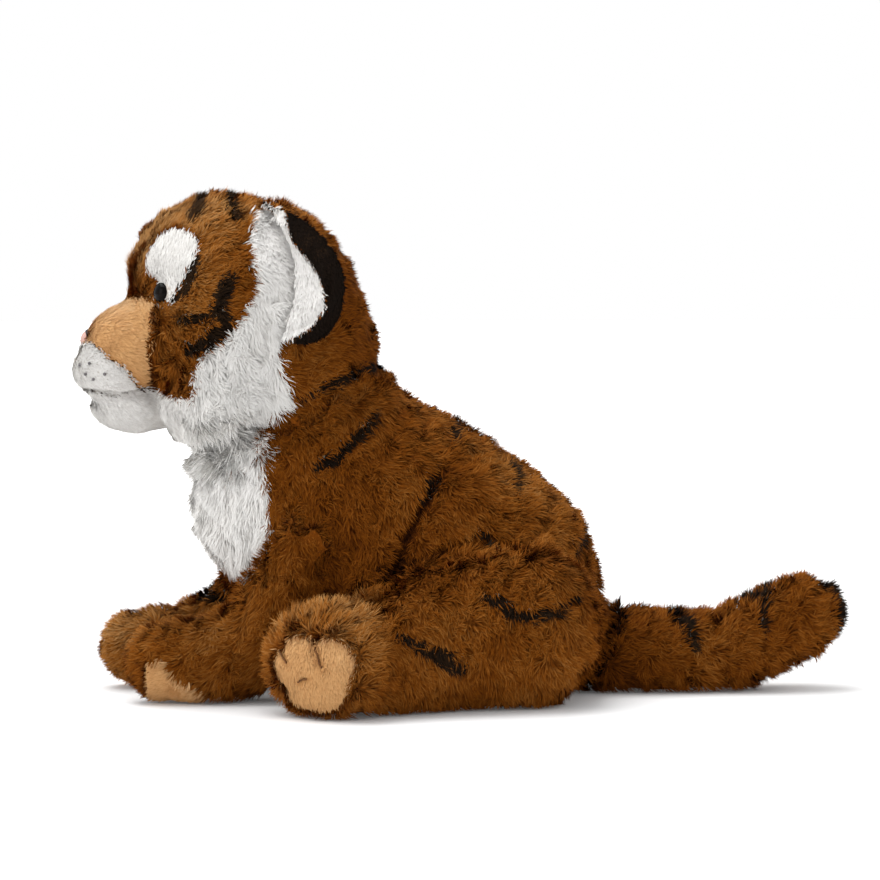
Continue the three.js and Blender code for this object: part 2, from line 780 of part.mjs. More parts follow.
function buildFrontLegs() {
  for (const [name, sign] of [['left', -1], ['right', 1]]) {
    const leg = formOf((coarseness) => frontLegGeometries(sign, coarseness));
    const torsoAround = swept(torso.padded, frontShoulder(sign), yAxis, 0, frontLegRaise);
    const cover = without(coverOf(leg), torsoAround);
    const shift = sign > 0 ? -rightPawReach : 0;
    const outline = pawPadShares.map(([x, z]) => new THREE.Vector2(
      pawTipX + x * frontLegLength + shift,
      z * frontLegHeight,
    ));
    const span = [-torsoWidth - overrun, torsoWidth + overrun];
    addPiece(`front_paw_pad_${name}`, cover.intersect(sidePrism(outline, ...span)), 'tan');
    addPiece(
      `front_leg_cover_${name}`,
      cover.subtract(sidePrism(grown(outline, clearance), ...span)),
      'brown',
    );
    addPiece(`front_leg_stuffing_${name}`, without(leg.core, torsoAround), 'stuffing');
  }
}

// Hind legs: rows as for the front legs, from the foot back to the haunch, with the share of the
// way from the foot's spread to the thigh's added
const hindLegShares = [
  [0.2, 0.0, 0.34, 0.34, 0.3],
  [0.34, 0.28, 0.38, 0.38, 0.35],
  [0.52, 0.68, 0.45, 0.45, 0.43],
  [0.7, 0.95, 0.49, 0.5, 0.5],
  [0.86, 1.0, 0.5, 0.48, 0.48],
  [0.98, 1.0, 0.52, 0.26, 0.28],
];
const hindLegEndShares = [0.08, 0.03];
const soleShare = 0.169;
const soleX = chestX + torsoLength * soleShare;
const hipShares = [0.88, 0.5];

function hindLegGeometries(sign, coarseness) {
  const stations = hindLegShares.map(([along, inward, up, height, width]) => ({
    place: vec(
      soleX + along * hindLegLength,
      (sign * THREE.MathUtils.lerp(footSpread, thighSpread, inward)) / 2,
      up * thighHeight - floorCut,
    ),
    halfHeight: height * thighHeight,
    halfWidth: width * thighWidth,
  }));
  const start = stations[0].place.clone().add(vec(-hindLegEndShares[0] * hindLegLength, 0, 0));
  const end = stations[stations.length - 1].place.clone().add(vec(hindLegEndShares[1] * hindLegLength, 0, 0));
  return [limb(stations, start, end, limbSides / coarseness), footGeometry(sign, coarseness)];
}

const footPlaceShare = 0.44;
const solePadDropShare = 0.1;
const footCentre = (sign) => vec(
  soleX + footLength * footPlaceShare,
  (sign * footSpread) / 2,
  footHeight / 2 - floorCut,
);

// The sole looks forward and out, so the foot's short way points there
function footGeometry(sign, coarseness) {
  return ellipsoid(
    footCentre(sign),
    vec(footDepth, footLength, footHeight),
    limbSides / coarseness,
    sign < 0 ? radians(footTurn) : -radians(footTurn),
  );
}

function solePrism(sign, extra) {
  const shape = rod(solePadDiameter / 2 + extra, footLength);
  shape.rotateY(-Math.PI / 2);
  shape.translate(-footLength / 2, 0, 0);
  shape.rotateZ(sign < 0 ? radians(footTurn) : -radians(footTurn));
  const place = footCentre(sign);
  shape.translate(place.x, place.y, place.z - solePadDropShare * footHeight);
  return solidOf(shape);
}

const hindHip = (sign) => vec(
  soleX + hipShares[0] * hindLegLength,
  (sign * thighSpread) / 2,
  hipShares[1] * thighHeight,
);

function buildHindLegs() {
  for (const [name, sign] of [['left', -1], ['right', 1]]) {
    const leg = formOf((coarseness) => hindLegGeometries(sign, coarseness));
    const torsoAround = swept(torso.padded, hindHip(sign), yAxis, 0, hindLegRaise);
    const cover = without(coverOf(leg), torsoAround);
    addPiece(`sole_pad_${name}`, cover.intersect(solePrism(sign, 0)), 'tan');
    addPiece(`hind_leg_cover_${name}`, cover.subtract(solePrism(sign, clearance)), 'brown');
    addPiece(`hind_leg_stuffing_${name}`, without(leg.core, torsoAround), 'stuffing');
  }
}

// Tail: rows of the distance from the root, the rise of the middle and the half thickness
const tailShares = [
  [0.02, 0.05, 0.3],
  [0.09, 0.05, 0.52],
  [0.32, 0.02, 0.51],
  [0.55, 0.03, 0.49],
  [0.69, 0.24, 0.5],
  [0.86, 0.68, 0.47],
  [0.97, 0.97, 0.26],
];
const tailEndShares = [0.03, 0.02, 0.05];
const tailRootShare = 0.895;
const tailPivotShare = 0.08;
const tailRootX = chestX + torsoLength * tailRootShare;
const tailPivot = vec(tailRootX + tailLength * tailPivotShare, 0, tailDiameter / 2);

function tailGeometries(coarseness) {
  const stations = tailShares.map(([along, rise, thickness]) => ({
    place: vec(
      tailRootX + along * tailLength,
      0,
      Math.max(thickness * tailDiameter, tailDiameter / 2) + rise * tailLift - floorCut,
    ),
    halfHeight: thickness * tailDiameter,
    halfWidth: thickness * tailDiameter,
  }));
  const root = stations[0].place.clone().add(vec(-tailEndShares[0] * tailLength, 0, 0));
  const tip = stations[stations.length - 1].place.clone().add(vec(
    tailEndShares[1] * tailLength,
    0,
    tailEndShares[2] * tailLift,
  ));
  return [limb(stations, root, tip, limbSides / coarseness)];
}

function buildTail() {
  const tail = formOf(tailGeometries);
  const torsoAround = swept(torso.padded, tailPivot, zAxis, -tailSwing, tailSwing);
  addPiece('tail_cover', without(coverOf(tail), torsoAround), 'brown');
  addPiece('tail_stuffing', without(tail.core, torsoAround), 'stuffing');
}

buildTorso();
buildHead();
buildEars();
buildFrontLegs();
buildHindLegs();
buildTail();

// The frame's origin is the middle of the bounding box's underside
const box = new THREE.Box3().setFromObject(tiger);
tiger.position.set(-(box.min.x + box.max.x) / 2, -(box.min.y + box.max.y) / 2, -box.min.z);

export default tiger;
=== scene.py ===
# A sitting plush tiger: sewn fur-cloth skins over soft filling, with the pile made strand by strand.
# Metres, +Z up. The tiger faces -X, and its left side, which the camera sees, is on -Y.

import math

import bmesh
import bpy
import numpy as np
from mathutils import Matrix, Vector
from mathutils.bvhtree import BVHTree


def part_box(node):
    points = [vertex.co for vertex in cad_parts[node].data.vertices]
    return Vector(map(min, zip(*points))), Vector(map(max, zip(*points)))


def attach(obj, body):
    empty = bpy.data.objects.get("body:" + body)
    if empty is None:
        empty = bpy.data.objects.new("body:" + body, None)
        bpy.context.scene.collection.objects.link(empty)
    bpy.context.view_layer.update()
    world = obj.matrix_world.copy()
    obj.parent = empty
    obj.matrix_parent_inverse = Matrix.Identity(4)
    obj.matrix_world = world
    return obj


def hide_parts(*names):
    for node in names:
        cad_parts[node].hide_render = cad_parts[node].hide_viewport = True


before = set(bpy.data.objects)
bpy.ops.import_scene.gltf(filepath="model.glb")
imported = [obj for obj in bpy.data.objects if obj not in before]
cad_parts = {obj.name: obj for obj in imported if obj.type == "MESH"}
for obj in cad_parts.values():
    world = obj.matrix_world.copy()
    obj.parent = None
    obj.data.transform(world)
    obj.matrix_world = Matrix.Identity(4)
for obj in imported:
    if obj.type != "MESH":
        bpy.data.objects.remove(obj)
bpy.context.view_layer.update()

MM = 0.001
TINY = 1e-9  # keeps a division from one by nothing
scene = bpy.context.scene

# Camera: a long lens a little above the toy's middle, 4 degrees round from square to its side
PICTURE = 880
FILM_WIDTH = 36
VIEW_TURN = math.radians(4)
VIEW_RISE = math.radians(3.5)
VIEW_DISTANCE = 1.6
VIEW_WIDTH = 0.396
VIEW_TARGET = Vector((-0.009, 0, 0.114))
VIEW_FORWARD = Vector((
    math.sin(VIEW_TURN) * math.cos(VIEW_RISE),
    math.cos(VIEW_TURN) * math.cos(VIEW_RISE),
    -math.sin(VIEW_RISE),
))
VIEW_RIGHT = Vector((math.cos(VIEW_TURN), -math.sin(VIEW_TURN), 0))
VIEW_UP = VIEW_RIGHT.cross(VIEW_FORWARD)
VIEW_PLACE = VIEW_TARGET - VIEW_FORWARD * VIEW_DISTANCE
PIXELS_PER_SLOPE = PICTURE * VIEW_DISTANCE / VIEW_WIDTH


def make_camera():
    camera = bpy.data.objects.new("camera", bpy.data.cameras.new("camera"))
    camera.data.sensor_width = FILM_WIDTH
    camera.data.lens = FILM_WIDTH * VIEW_DISTANCE / VIEW_WIDTH
    camera.location = VIEW_PLACE
    camera.rotation_euler = VIEW_FORWARD.to_track_quat("-Z", "Y").to_euler()
    scene.collection.objects.link(camera)
    scene.camera = camera


def photo_place(points):
    """Where points lie in the photograph, in its pixels."""
    away = points - np.array(VIEW_PLACE)
    depth = away @ np.array(VIEW_FORWARD)
    across = PICTURE / 2 + PIXELS_PER_SLOPE * (away @ np.array(VIEW_RIGHT)) / depth
    down = PICTURE / 2 - PIXELS_PER_SLOPE * (away @ np.array(VIEW_UP)) / depth
    return np.stack([across, down], axis=1)


def seen_at(surface, pixel):
    """The place on a surface that the photograph shows at a pixel, and the surface's normal there."""
    across = (pixel[0] - PICTURE / 2) / PIXELS_PER_SLOPE
    down = (pixel[1] - PICTURE / 2) / PIXELS_PER_SLOPE
    way = VIEW_FORWARD + VIEW_RIGHT * across - VIEW_UP * down
    place, normal, _, _ = surface.ray_cast(VIEW_PLACE, way.normalized())
    return place, normal


# Small helpers for meshes

def linked(name, data):
    obj = bpy.data.objects.new(name, data)
    scene.collection.objects.link(obj)
    return obj


def mesh_shown(obj):
    """A new mesh of the object as its modifiers leave it."""
    graph = bpy.context.evaluated_depsgraph_get()
    return bpy.data.meshes.new_from_object(obj.evaluated_get(graph))


def plain_mesh(obj):
    """Makes the object a mesh with its modifiers applied and removed."""
    mesh = mesh_shown(obj)
    mesh.name = obj.name
    obj.modifiers.clear()
    obj.data = mesh
    return obj


def mesh_from(shape, name):
    mesh = bpy.data.meshes.new(name)
    shape.to_mesh(mesh)
    shape.free()
    return mesh


def shade_smooth(mesh):
    mesh.polygons.foreach_set("use_smooth", [True] * len(mesh.polygons))


def read_vectors(items, field):
    flat = np.empty(len(items) * 3, dtype=np.float32)
    items.foreach_get(field, flat)
    return flat.reshape(-1, 3).astype(float)


def corners_of(mesh):
    return read_vectors(mesh.vertices, "co")


def normals_of(mesh):
    return read_vectors(mesh.vertex_normals, "vector")


def set_corners(mesh, points):
    mesh.vertices.foreach_set("co", points.astype(np.float32).ravel())
    mesh.update()


def store(mesh, name, values):
    kind, field = ("FLOAT", "value") if values.ndim == 1 else ("FLOAT_VECTOR", "vector")
    layer = mesh.attributes.new(name, kind, "POINT")
    layer.data.foreach_set(field, values.astype(np.float32).ravel())


def surface_of(mesh):
    return BVHTree.FromPolygons([v.co for v in mesh.vertices], [p.vertices for p in mesh.polygons])


def unit(vectors):
    return vectors / np.maximum(np.linalg.norm(vectors, axis=-1, keepdims=True), TINY)


def smooth_step(low, high, value):
    t = np.clip((value - low) / (high - low), 0, 1)
    return t * t * (3 - 2 * t)


def wave_noise(points, size, seed, octaves=3):
    """Smooth noise about zero, as a sum of turned waves whose length is about size."""
    rng = np.random.default_rng(seed)
    total = np.zeros(len(points))
    for octave in range(octaves):
        for _ in range(5):
            turn = unit(rng.normal(size=3))
            phase = rng.uniform(0, 2 * math.pi)
            total += np.sin(points @ turn * 2 * math.pi * 2**octave / size + phase) / 2**octave
    return total / 4


def wave_vectors(points, size, seed):
    return np.stack([wave_noise(points, size, seed + axis, 2) for axis in range(3)], axis=1)


# Small helpers for what the photograph shows, in its pixels

def beside_line(places, a, b):
    """How far along the line from a to b each place lies, from 0 to 1, and how far from that line."""
    along = b - a
    t = np.clip(((places - a) @ along) / max(along @ along, TINY), 0, 1)
    return t, np.linalg.norm(places - a - t[:, None] * along, axis=1)


def edge_distance(places, outline):
    """How far inside a closed outline each place lies, in pixels; outside is negative."""
    outline = np.array(outline, dtype=float)
    nearest = np.full(len(places), np.inf)
    inside = np.zeros(len(places), dtype=bool)
    for a, b in zip(outline, np.roll(outline, -1, axis=0)):
        nearest = np.minimum(nearest, beside_line(places, a, b)[1])
        crosses = (a[1] > places[:, 1]) != (b[1] > places[:, 1])
        run, rise = b - a
        step = (places[:, 1] - a[1]) * run / (rise if rise else TINY) + a[0]
        inside ^= crosses & (places[:, 0] < step)
    return np.where(inside, nearest, -nearest)


def stroke_depth(places, stroke):
    """How far inside a brush stroke each place lies, in pixels. A stroke is rows of x, y and half width."""
    stroke = np.array(stroke, dtype=float)
    best = np.full(len(places), -np.inf)
    for a, b in zip(stroke[:-1], stroke[1:]):
        t, away = beside_line(places, a[:2], b[:2])
        best = np.maximum(best, a[2] + t * (b[2] - a[2]) - away)
    return best


CLOTH_SOFTNESS = 4.0
STRIPE_SOFTNESS = 2.5


def painted(places, outlines, softness=CLOTH_SOFTNESS):
    depth = np.max([edge_distance(places, outline) for outline in outlines], axis=0)
    return np.clip(0.5 + depth / (2 * softness), 0, 1)


def brushed(places, strokes, softness=STRIPE_SOFTNESS):
    depth = np.max([stroke_depth(places, stroke) for stroke in strokes], axis=0)
    return np.clip(0.5 + depth / (2 * softness), 0, 1)


# Coloured cloth, stripes, creases and a few strokes of painted light and shade, drawn where the photograph
# shows them, in its pixels

BIB = [(150, 395), (262, 424), (257, 440), (258, 457), (263, 482), (266, 520), (261, 545), (250, 563),
       (238, 581), (228, 581), (204, 560), (150, 550)]
RUFF = [(250, 236), (253, 255), (256, 273), (256, 288), (246, 310), (229, 336), (201, 358), (188, 371),
        (190, 397), (150, 397), (140, 480), (252, 480), (264, 430), (280, 416), (292, 404), (290, 392),
        (286, 378), (281, 366), (282, 345), (306, 300), (297, 240), (286, 200), (266, 202), (254, 209)]
BROW = [(172, 227), (186, 231), (196, 241), (193, 256), (187, 268), (179, 285), (170, 301), (166, 305),
        (163, 296), (160, 286), (154, 280), (143, 273), (142, 263), (146, 249), (156, 235)]
MUZZLE = [(152, 303), (147, 314), (147, 353), (151, 388), (142, 391), (127, 371), (108, 358), (97, 347),
          (86, 341), (60, 338), (60, 297), (124, 296), (138, 297)]
# Painted shade in the corner in front of the eye: the pile there is painted darker.
EYE_CORNER_SHADE = [(146, 282), (152, 280), (158, 285), (156, 296), (149, 293)]
LIPS = [(60, 338), (86, 341), (97, 347), (108, 358), (127, 371), (142, 391), (112, 397), (88, 391), (60, 391)]
CHIN = [(60, 391), (88, 391), (112, 397), (142, 391), (152, 392), (190, 397), (190, 480), (60, 480)]
EAR_LINING = [(225, 180), (266, 180), (281, 190), (285, 223), (289, 241), (306, 260), (316, 274), (323, 297),
              (325, 307), (310, 325), (294, 336), (281, 344), (225, 352)]
PAW_PAD = [(145, 664), (152, 660), (160, 660), (164, 666), (174, 679), (189, 687), (204, 696), (209, 706),
           (180, 710), (150, 704), (145, 684)]
SOLE_PAD = [(273, 653), (272, 665), (275, 678), (283, 687), (288, 699), (300, 705), (322, 708), (338, 706),
            (349, 695), (352, 678), (357, 663), (353, 650), (343, 640), (328, 636), (317, 639), (313, 643),
            (309, 635), (298, 632), (288, 634), (283, 642), (281, 651)]

HEAD_STRIPES = [
    [(200, 188, 5), (195, 203, 6), (188, 213, 5)],
    [(229, 188, 5), (231, 203, 5.5), (234, 213, 4)],
    [(195, 256, 2), (188, 274, 4), (181, 291, 5), (171, 301, 2)],
    [(227, 279, 7), (219, 296, 8), (216, 308, 6.5), (222, 320, 7), (226, 332, 6)],
    [(175, 322, 4), (196, 320, 5), (216, 312, 5)],
    [(181, 354, 4), (200, 347, 8), (213, 336, 9), (222, 326, 6)],
]
NAPE_STRIPES = [
    [(302, 400, 2), (326, 388, 3), (352, 376, 4), (373, 367, 4.5), (390, 358, 4)],
]
# A stroke of painted light on the forehead: the pile is painted lighter there.
FOREHEAD_PAINTED_LIGHT = [(158, 204, 12), (138, 228, 14), (131, 262, 10)]
TORSO_STRIPES = [
    [(380, 411, 3.5), (368, 425, 5), (352, 440, 6), (336, 456, 5.5), (322, 463, 4.5), (309, 469, 3)],
    [(390, 360, 3), (373, 370, 3), (333, 385, 2.5), (312, 396, 1.5)],
    [(459, 416, 3), (457, 428, 4), (454, 436, 2)],
    [(514, 456, 3), (518, 466, 4), (521, 484, 2.5)],
    [(590, 524, 2), (588, 540, 3.5), (583, 552, 2)],
    [(475, 532, 2), (488, 536, 4), (501, 540, 2)],
    [(441, 458, 1.5), (434, 478, 3.5), (424, 503, 2)],
]
HIND_LEG_STRIPES = [
    [(486, 594, 4), (501, 601, 6), (511, 611, 6), (535, 616, 5.5), (558, 611, 5), (581, 596, 3.5)],
    [(402, 633, 3), (425, 647, 6), (444, 658, 8.5), (464, 672, 7)],
]
FRONT_LEG_STRIPES = [
    [(206, 586, 3), (219, 596, 6), (236, 602, 3)],
]
TAIL_STRIPES = [
    [(668, 602, 4), (682, 612, 7), (689, 624, 8), (693, 640, 6), (697, 650, 3)],
    [(764, 580, 4), (760, 600, 5), (763, 621, 4.5), (765, 638, 2)],
    [(735, 594, 3), (748, 591, 4), (760, 590, 4)],
    [(824, 572, 7), (840, 584, 9), (850, 604, 9), (847, 628, 6), (838, 648, 3)],
    [(612, 596, 4), (620, 610, 6), (618, 632, 3)],
]

# Creases pressed into the stuffed cloth, each with its depth in millimetres. A fold that stands out
# has a negative depth.
HEAD_CREASES = [
    ([(200, 444, 7), (250, 438, 6)], -3.0),
    ([(84, 391, 2), (98, 394, 2.5), (112, 397, 3), (130, 396, 2.5), (147, 392, 2)], 2.4),
    ([(88, 343, 1), (97, 347, 2), (108, 358, 2), (127, 371, 2), (142, 389, 2)], 0.9),
    ([(156, 302, 1), (148, 314, 1.5), (148, 335, 1.5), (148, 353, 1.5), (151, 386, 1)], 1.6),
    ([(158, 282, 4), (160, 294, 5), (160, 302, 3)], 1.6),
]
NECK_CREASES = [
    ([(196, 452, 16), (250, 448, 15)], -11.0),
    ([(264, 430, 1.5), (291, 409, 2), (312, 396, 2.5), (333, 386, 2.5), (373, 370, 2.5),
      (388, 360, 2.5)], 2.5),
]
GAP_CREASES = [
    ([(374, 606, 6), (383, 590, 9), (391, 572, 8), (397, 559, 5)], 9.0),
]
THIGH_CREASES = [
    ([(398, 558, 4), (418, 556, 2.5), (441, 547, 2.5), (466, 541, 2.5), (487, 537, 3), (502, 542, 2),
      (518, 550, 1)], 4.5),
    ([(398, 556, 4), (406, 532, 5), (421, 508, 4), (434, 480, 3.5), (441, 466, 2)], 3.5),
]
SHIN_CREASES = [
    ([(350, 572, 16), (372, 586, 18), (384, 604, 8)], 11.0),
]
SOLE_CREASES = [
    ([(312, 636, 2), (314, 651, 3), (318, 664, 3), (322, 670, 2)], 3.0),
    ([(279, 651, 2), (283, 658, 2.5), (287, 664, 1)], 2.2),
    ([(298, 681, 2), (308, 678, 2)], 1.4),
]
PAW_CREASES = [
    ([(172, 688, 2), (180, 691, 2)], 1.2),
]

# Where the outline stands further out or in than the covers: place, reach in pixels, height in millimetres
HEAD_BULGES = [((128, 250), 32, 3.8), ((150, 210), 30, 4.6), ((200, 192), 30, 2.4), ((356, 312), 44, 3.6),
               ((72, 364), 22, 2.4), ((266, 196), 20, -2.0), ((135, 428), 24, 1.6)]
FAR_LEG_BULGES = [((238, 580), 24, 5.0)]
TORSO_BULGES = [((592, 510), 40, 3.2), ((186, 460), 26, -1.0), ((186, 500), 55, -2.0)]
TAIL_BULGES = [((805, 572), 42, 6.0), ((748, 590), 24, 1.8)]
EAR_BULGES = [((320, 326), 22, 3.0), ((298, 346), 18, 3.0)]
LEG_BULGES = [((368, 574), 26, -13.0), ((300, 596), 22, 1.5)]

WHISKERS = [(81, 366), (90, 364), (105, 374), (94, 379), (86, 374)]
EYE_PLACE = (160.5, 293)

# Places in the frame that the pile follows
NECK_CENTRE = np.array((-77.79, 0, 128.145)) * MM
NECK_AXIS = unit(np.array((-0.428935, 0, 0.903335)))
NOSE_TIP = np.array([sum(ends) / 2 for ends in zip(*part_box("nose"))])
SOLE_CENTRE = np.array((-76, -86, 19)) * MM
EAR_BASE = np.array((-84.251, -33.48, 190.71)) * MM
EAR_FRONT = np.array((-0.714878, -0.675761, 0.179712))
RIGHT_PAW_FORWARD = 14 * MM


# Skins: a closed soft surface for each stuffed body, made from the covers and their filling

HEAD_NODES = ["muzzle_top", "upper_lip_left", "upper_lip_right", "chin", "cheek_ruff_left",
              "cheek_ruff_right", "brow_left", "brow_right", "face_left", "face_right", "nape_left",
              "nape_right", "head_stuffing"]
TORSO_NODES = ["body_cover_left", "body_cover_right", "chest_panel", "belly_panel", "body_stuffing",
               "pellet_bag"]
WELD = 0.01 * MM
GROOVE = 4.0 * MM
UNION_VOXEL = 3.0 * MM
UNION_ROUNDS = 6
JOIN_CLOSE, JOIN_FAR = 4 * MM, 15 * MM
JOIN_REACH = 9 * MM
JOIN_FACING = 0.5
JOINED = 0.01
HELD_CLOSE, HELD_FAR = 3 * MM, 9 * MM
PRESSURE = 4
SWELLING_FRAMES = 20
SWELLING = 1.6 * MM
PILE_DEPTH = 0.55
SAG = 3.0 * MM


def gathered(name, meshes):
    """One object that holds several meshes, with their loose triangles merged."""
    shape = bmesh.new()
    for mesh in meshes:
        shape.from_mesh(mesh)
    bmesh.ops.remove_doubles(shape, verts=shape.verts, dist=WELD)
    return linked(name, mesh_from(shape, name))


def keep_outside(mesh):
    """Deletes the closed shells that a remesh leaves inside the widest one."""
    shape = bmesh.new()
    shape.from_mesh(mesh)
    shape.verts.ensure_lookup_table()
    shells, seen = [], set()
    for start in shape.verts:
        if start in seen:
            continue
        shell, queue = [], [start]
        seen.add(start)
        while queue:
            corner = queue.pop()
            shell.append(corner)
            for edge in corner.link_edges:
                other = edge.other_vert(corner)
                if other not in seen:
                    seen.add(other)
                    queue.append(other)
        shells.append(shell)
    widest = max(shells, key=len)
    inner = [corner for shell in shells if shell is not widest for corner in shell]
    bmesh.ops.delete(shape, geom=inner, context="VERTS")
    shape.to_mesh(mesh)
    shape.free()


def wrapped(name, meshes, voxel, rounds):
    """A smooth closed surface round some meshes."""
    skin = gathered(name, meshes)
    remesh = skin.modifiers.new("remesh", "REMESH")
    remesh.mode = "VOXEL"
    remesh.voxel_size = voxel
    plain_mesh(skin)
    keep_outside(skin.data)
    smooth = skin.modifiers.new("smooth", "SMOOTH")
    smooth.factor = 0.5
    smooth.iterations = rounds
    return plain_mesh(skin)


def body_skin(body, how):
    covers = [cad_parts[node].data for node in how["nodes"]]
    return wrapped(f"{body}_skin", covers, how["voxel"] * MM, how["rounds"])


def swell(skin, held):
    """Fills the skin: cloth under pressure, held at its joints, which moves by the swelling at most."""
    before = corners_of(skin.data)
    group = skin.vertex_groups.new(name="held")
    group.add([int(i) for i in np.flatnonzero(held > 0.5)], 1.0, "REPLACE")
    cloth = skin.modifiers.new("cloth", "CLOTH")
    cloth.settings.use_pressure = True
    cloth.settings.uniform_pressure_force = PRESSURE
    cloth.settings.vertex_group_mass = group.name
    cloth.settings.effector_weights.gravity = 0
    for step in range(SWELLING_FRAMES):
        scene.frame_set(step + 1)
    graph = bpy.context.evaluated_depsgraph_get()
    move = corners_of(skin.evaluated_get(graph).data) - before
    skin.modifiers.clear()
    skin.vertex_groups.clear()
    scene.frame_set(1)
    size = np.linalg.norm(move, axis=1, keepdims=True)
    move *= np.minimum(1, SWELLING / np.maximum(size, TINY))
    free = held < 0.5
    outward = np.sum(move * normals_of(skin.data), axis=1)
    set_corners(skin.data, before + move - np.mean(outward[free]) * normals_of(skin.data))


def nearness(points, surfaces, close, far):
    """1 where a point lies closer than close to one of the surfaces, falling to 0 at far."""
    away = np.full(len(points), far)
    for surface in surfaces:
        for i, point in enumerate(points):
            distance = surface.find_nearest(point, far)[3]
            if distance is not None:
                away[i] = min(away[i], distance)
    return smooth_step(far, close, away)


def drawn_together(points, normals, near, whole):
    """The points near a neighbour, moved on to the surface that runs over both."""
    moved = points.copy()
    for i in np.flatnonzero(near > JOINED):
        place, way = Vector(points[i]), Vector(normals[i])
        hits = []
        for sign in (1, -1):
            hit, facing, _, distance = whole.ray_cast(place, sign * way, JOIN_REACH)
            if hit is not None and facing.dot(way) > JOIN_FACING:
                hits.append((distance, tuple(hit)))
        if hits:
            moved[i] += near[i] * (np.array(min(hits)[1]) - points[i])
    return moved


# Coats: what each point of a skin carries

def directed(*vector):
    return unit(np.array(vector, dtype=float))


def leaning(normals, flow, lean):
    """Which way each strand leaves the skin: along the flow, at the lean from the normal in degrees."""
    along = unit(flow - normals * np.sum(flow * normals, axis=1, keepdims=True))
    lean = np.radians(np.broadcast_to(lean, len(normals)))[:, None]
    return unit(normals * np.cos(lean) + along * np.sin(lean))


def mixed(a, b, t):
    return a + (b - a) * t[:, None]


def on_left(points, values):
    """Vectors at points of the right side as they are on the left, where the photograph shows them."""
    return values * np.where(points[:, 1:2] > 0, [1, -1, 1], [1, 1, 1])


class Coat:
    """The cloth, the colour of the pile and how the pile lies at each point of a skin."""

    def __init__(self, points, normals):
        count = len(points)
        self.white = np.zeros(count)
        self.tan = np.zeros(count)
        self.dark = np.zeros(count)
        # shade is the dye's brightness: a random mottle here, to which the coats add painted light and shade.
        self.shade = 0.53 + 0.08 * wave_noise(points, 40 * MM, 5) + 0.05 * wave_noise(points, 9 * MM, 6)
        self.pile = np.full(count, 5.6) * MM
        self.cover = np.ones(count)
        self.flow = directed(0.35, 0, -1)
        self.lean = np.full(count, 34.0)
        self.ruffle = np.full(count, 0.6)


def torso_coat(points, normals, places):
    coat = Coat(points, normals)
    coat.white = painted(places, [BIB])
    coat.dark = brushed(places, TORSO_STRIPES) * (coat.white < 0.4)
    top = smooth_step(0.2, 0.9, normals[:, 2])
    coat.flow = mixed(coat.flow, directed(1, 0, -0.4), top)
    coat.flow = mixed(coat.flow, directed(0, 0, -1), coat.white)
    coat.pile += 0.8 * coat.white * MM
    coat.lean += 16 * coat.white
    coat.ruffle -= 0.15 * coat.white
    coat.cover += 0.9 * coat.white
    # Painted light and shade: the upper side is lighter and the lowest part darker, the rear of the back is
    # painted lighter as if lit from behind, and the white under the chin is painted lighter against the shade
    # there.
    coat.shade += 0.06 * smooth_step(0.4, 0.9, normals[:, 2]) - 0.1 * smooth_step(0.15, 0.05, points[:, 2])
    coat.shade += 0.14 * smooth_step(-0.01, 0.03, points[:, 0]) * smooth_step(0.03, 0.06, points[:, 2])
    coat.shade += 0.4 * coat.white * smooth_step(0.085, 0.105, points[:, 2])
    # Painted shade in the gap between the front leg and the thigh.
    coat.shade -= 0.25 * brushed(places, [stroke for stroke, _ in GAP_CREASES], 5)
    return coat


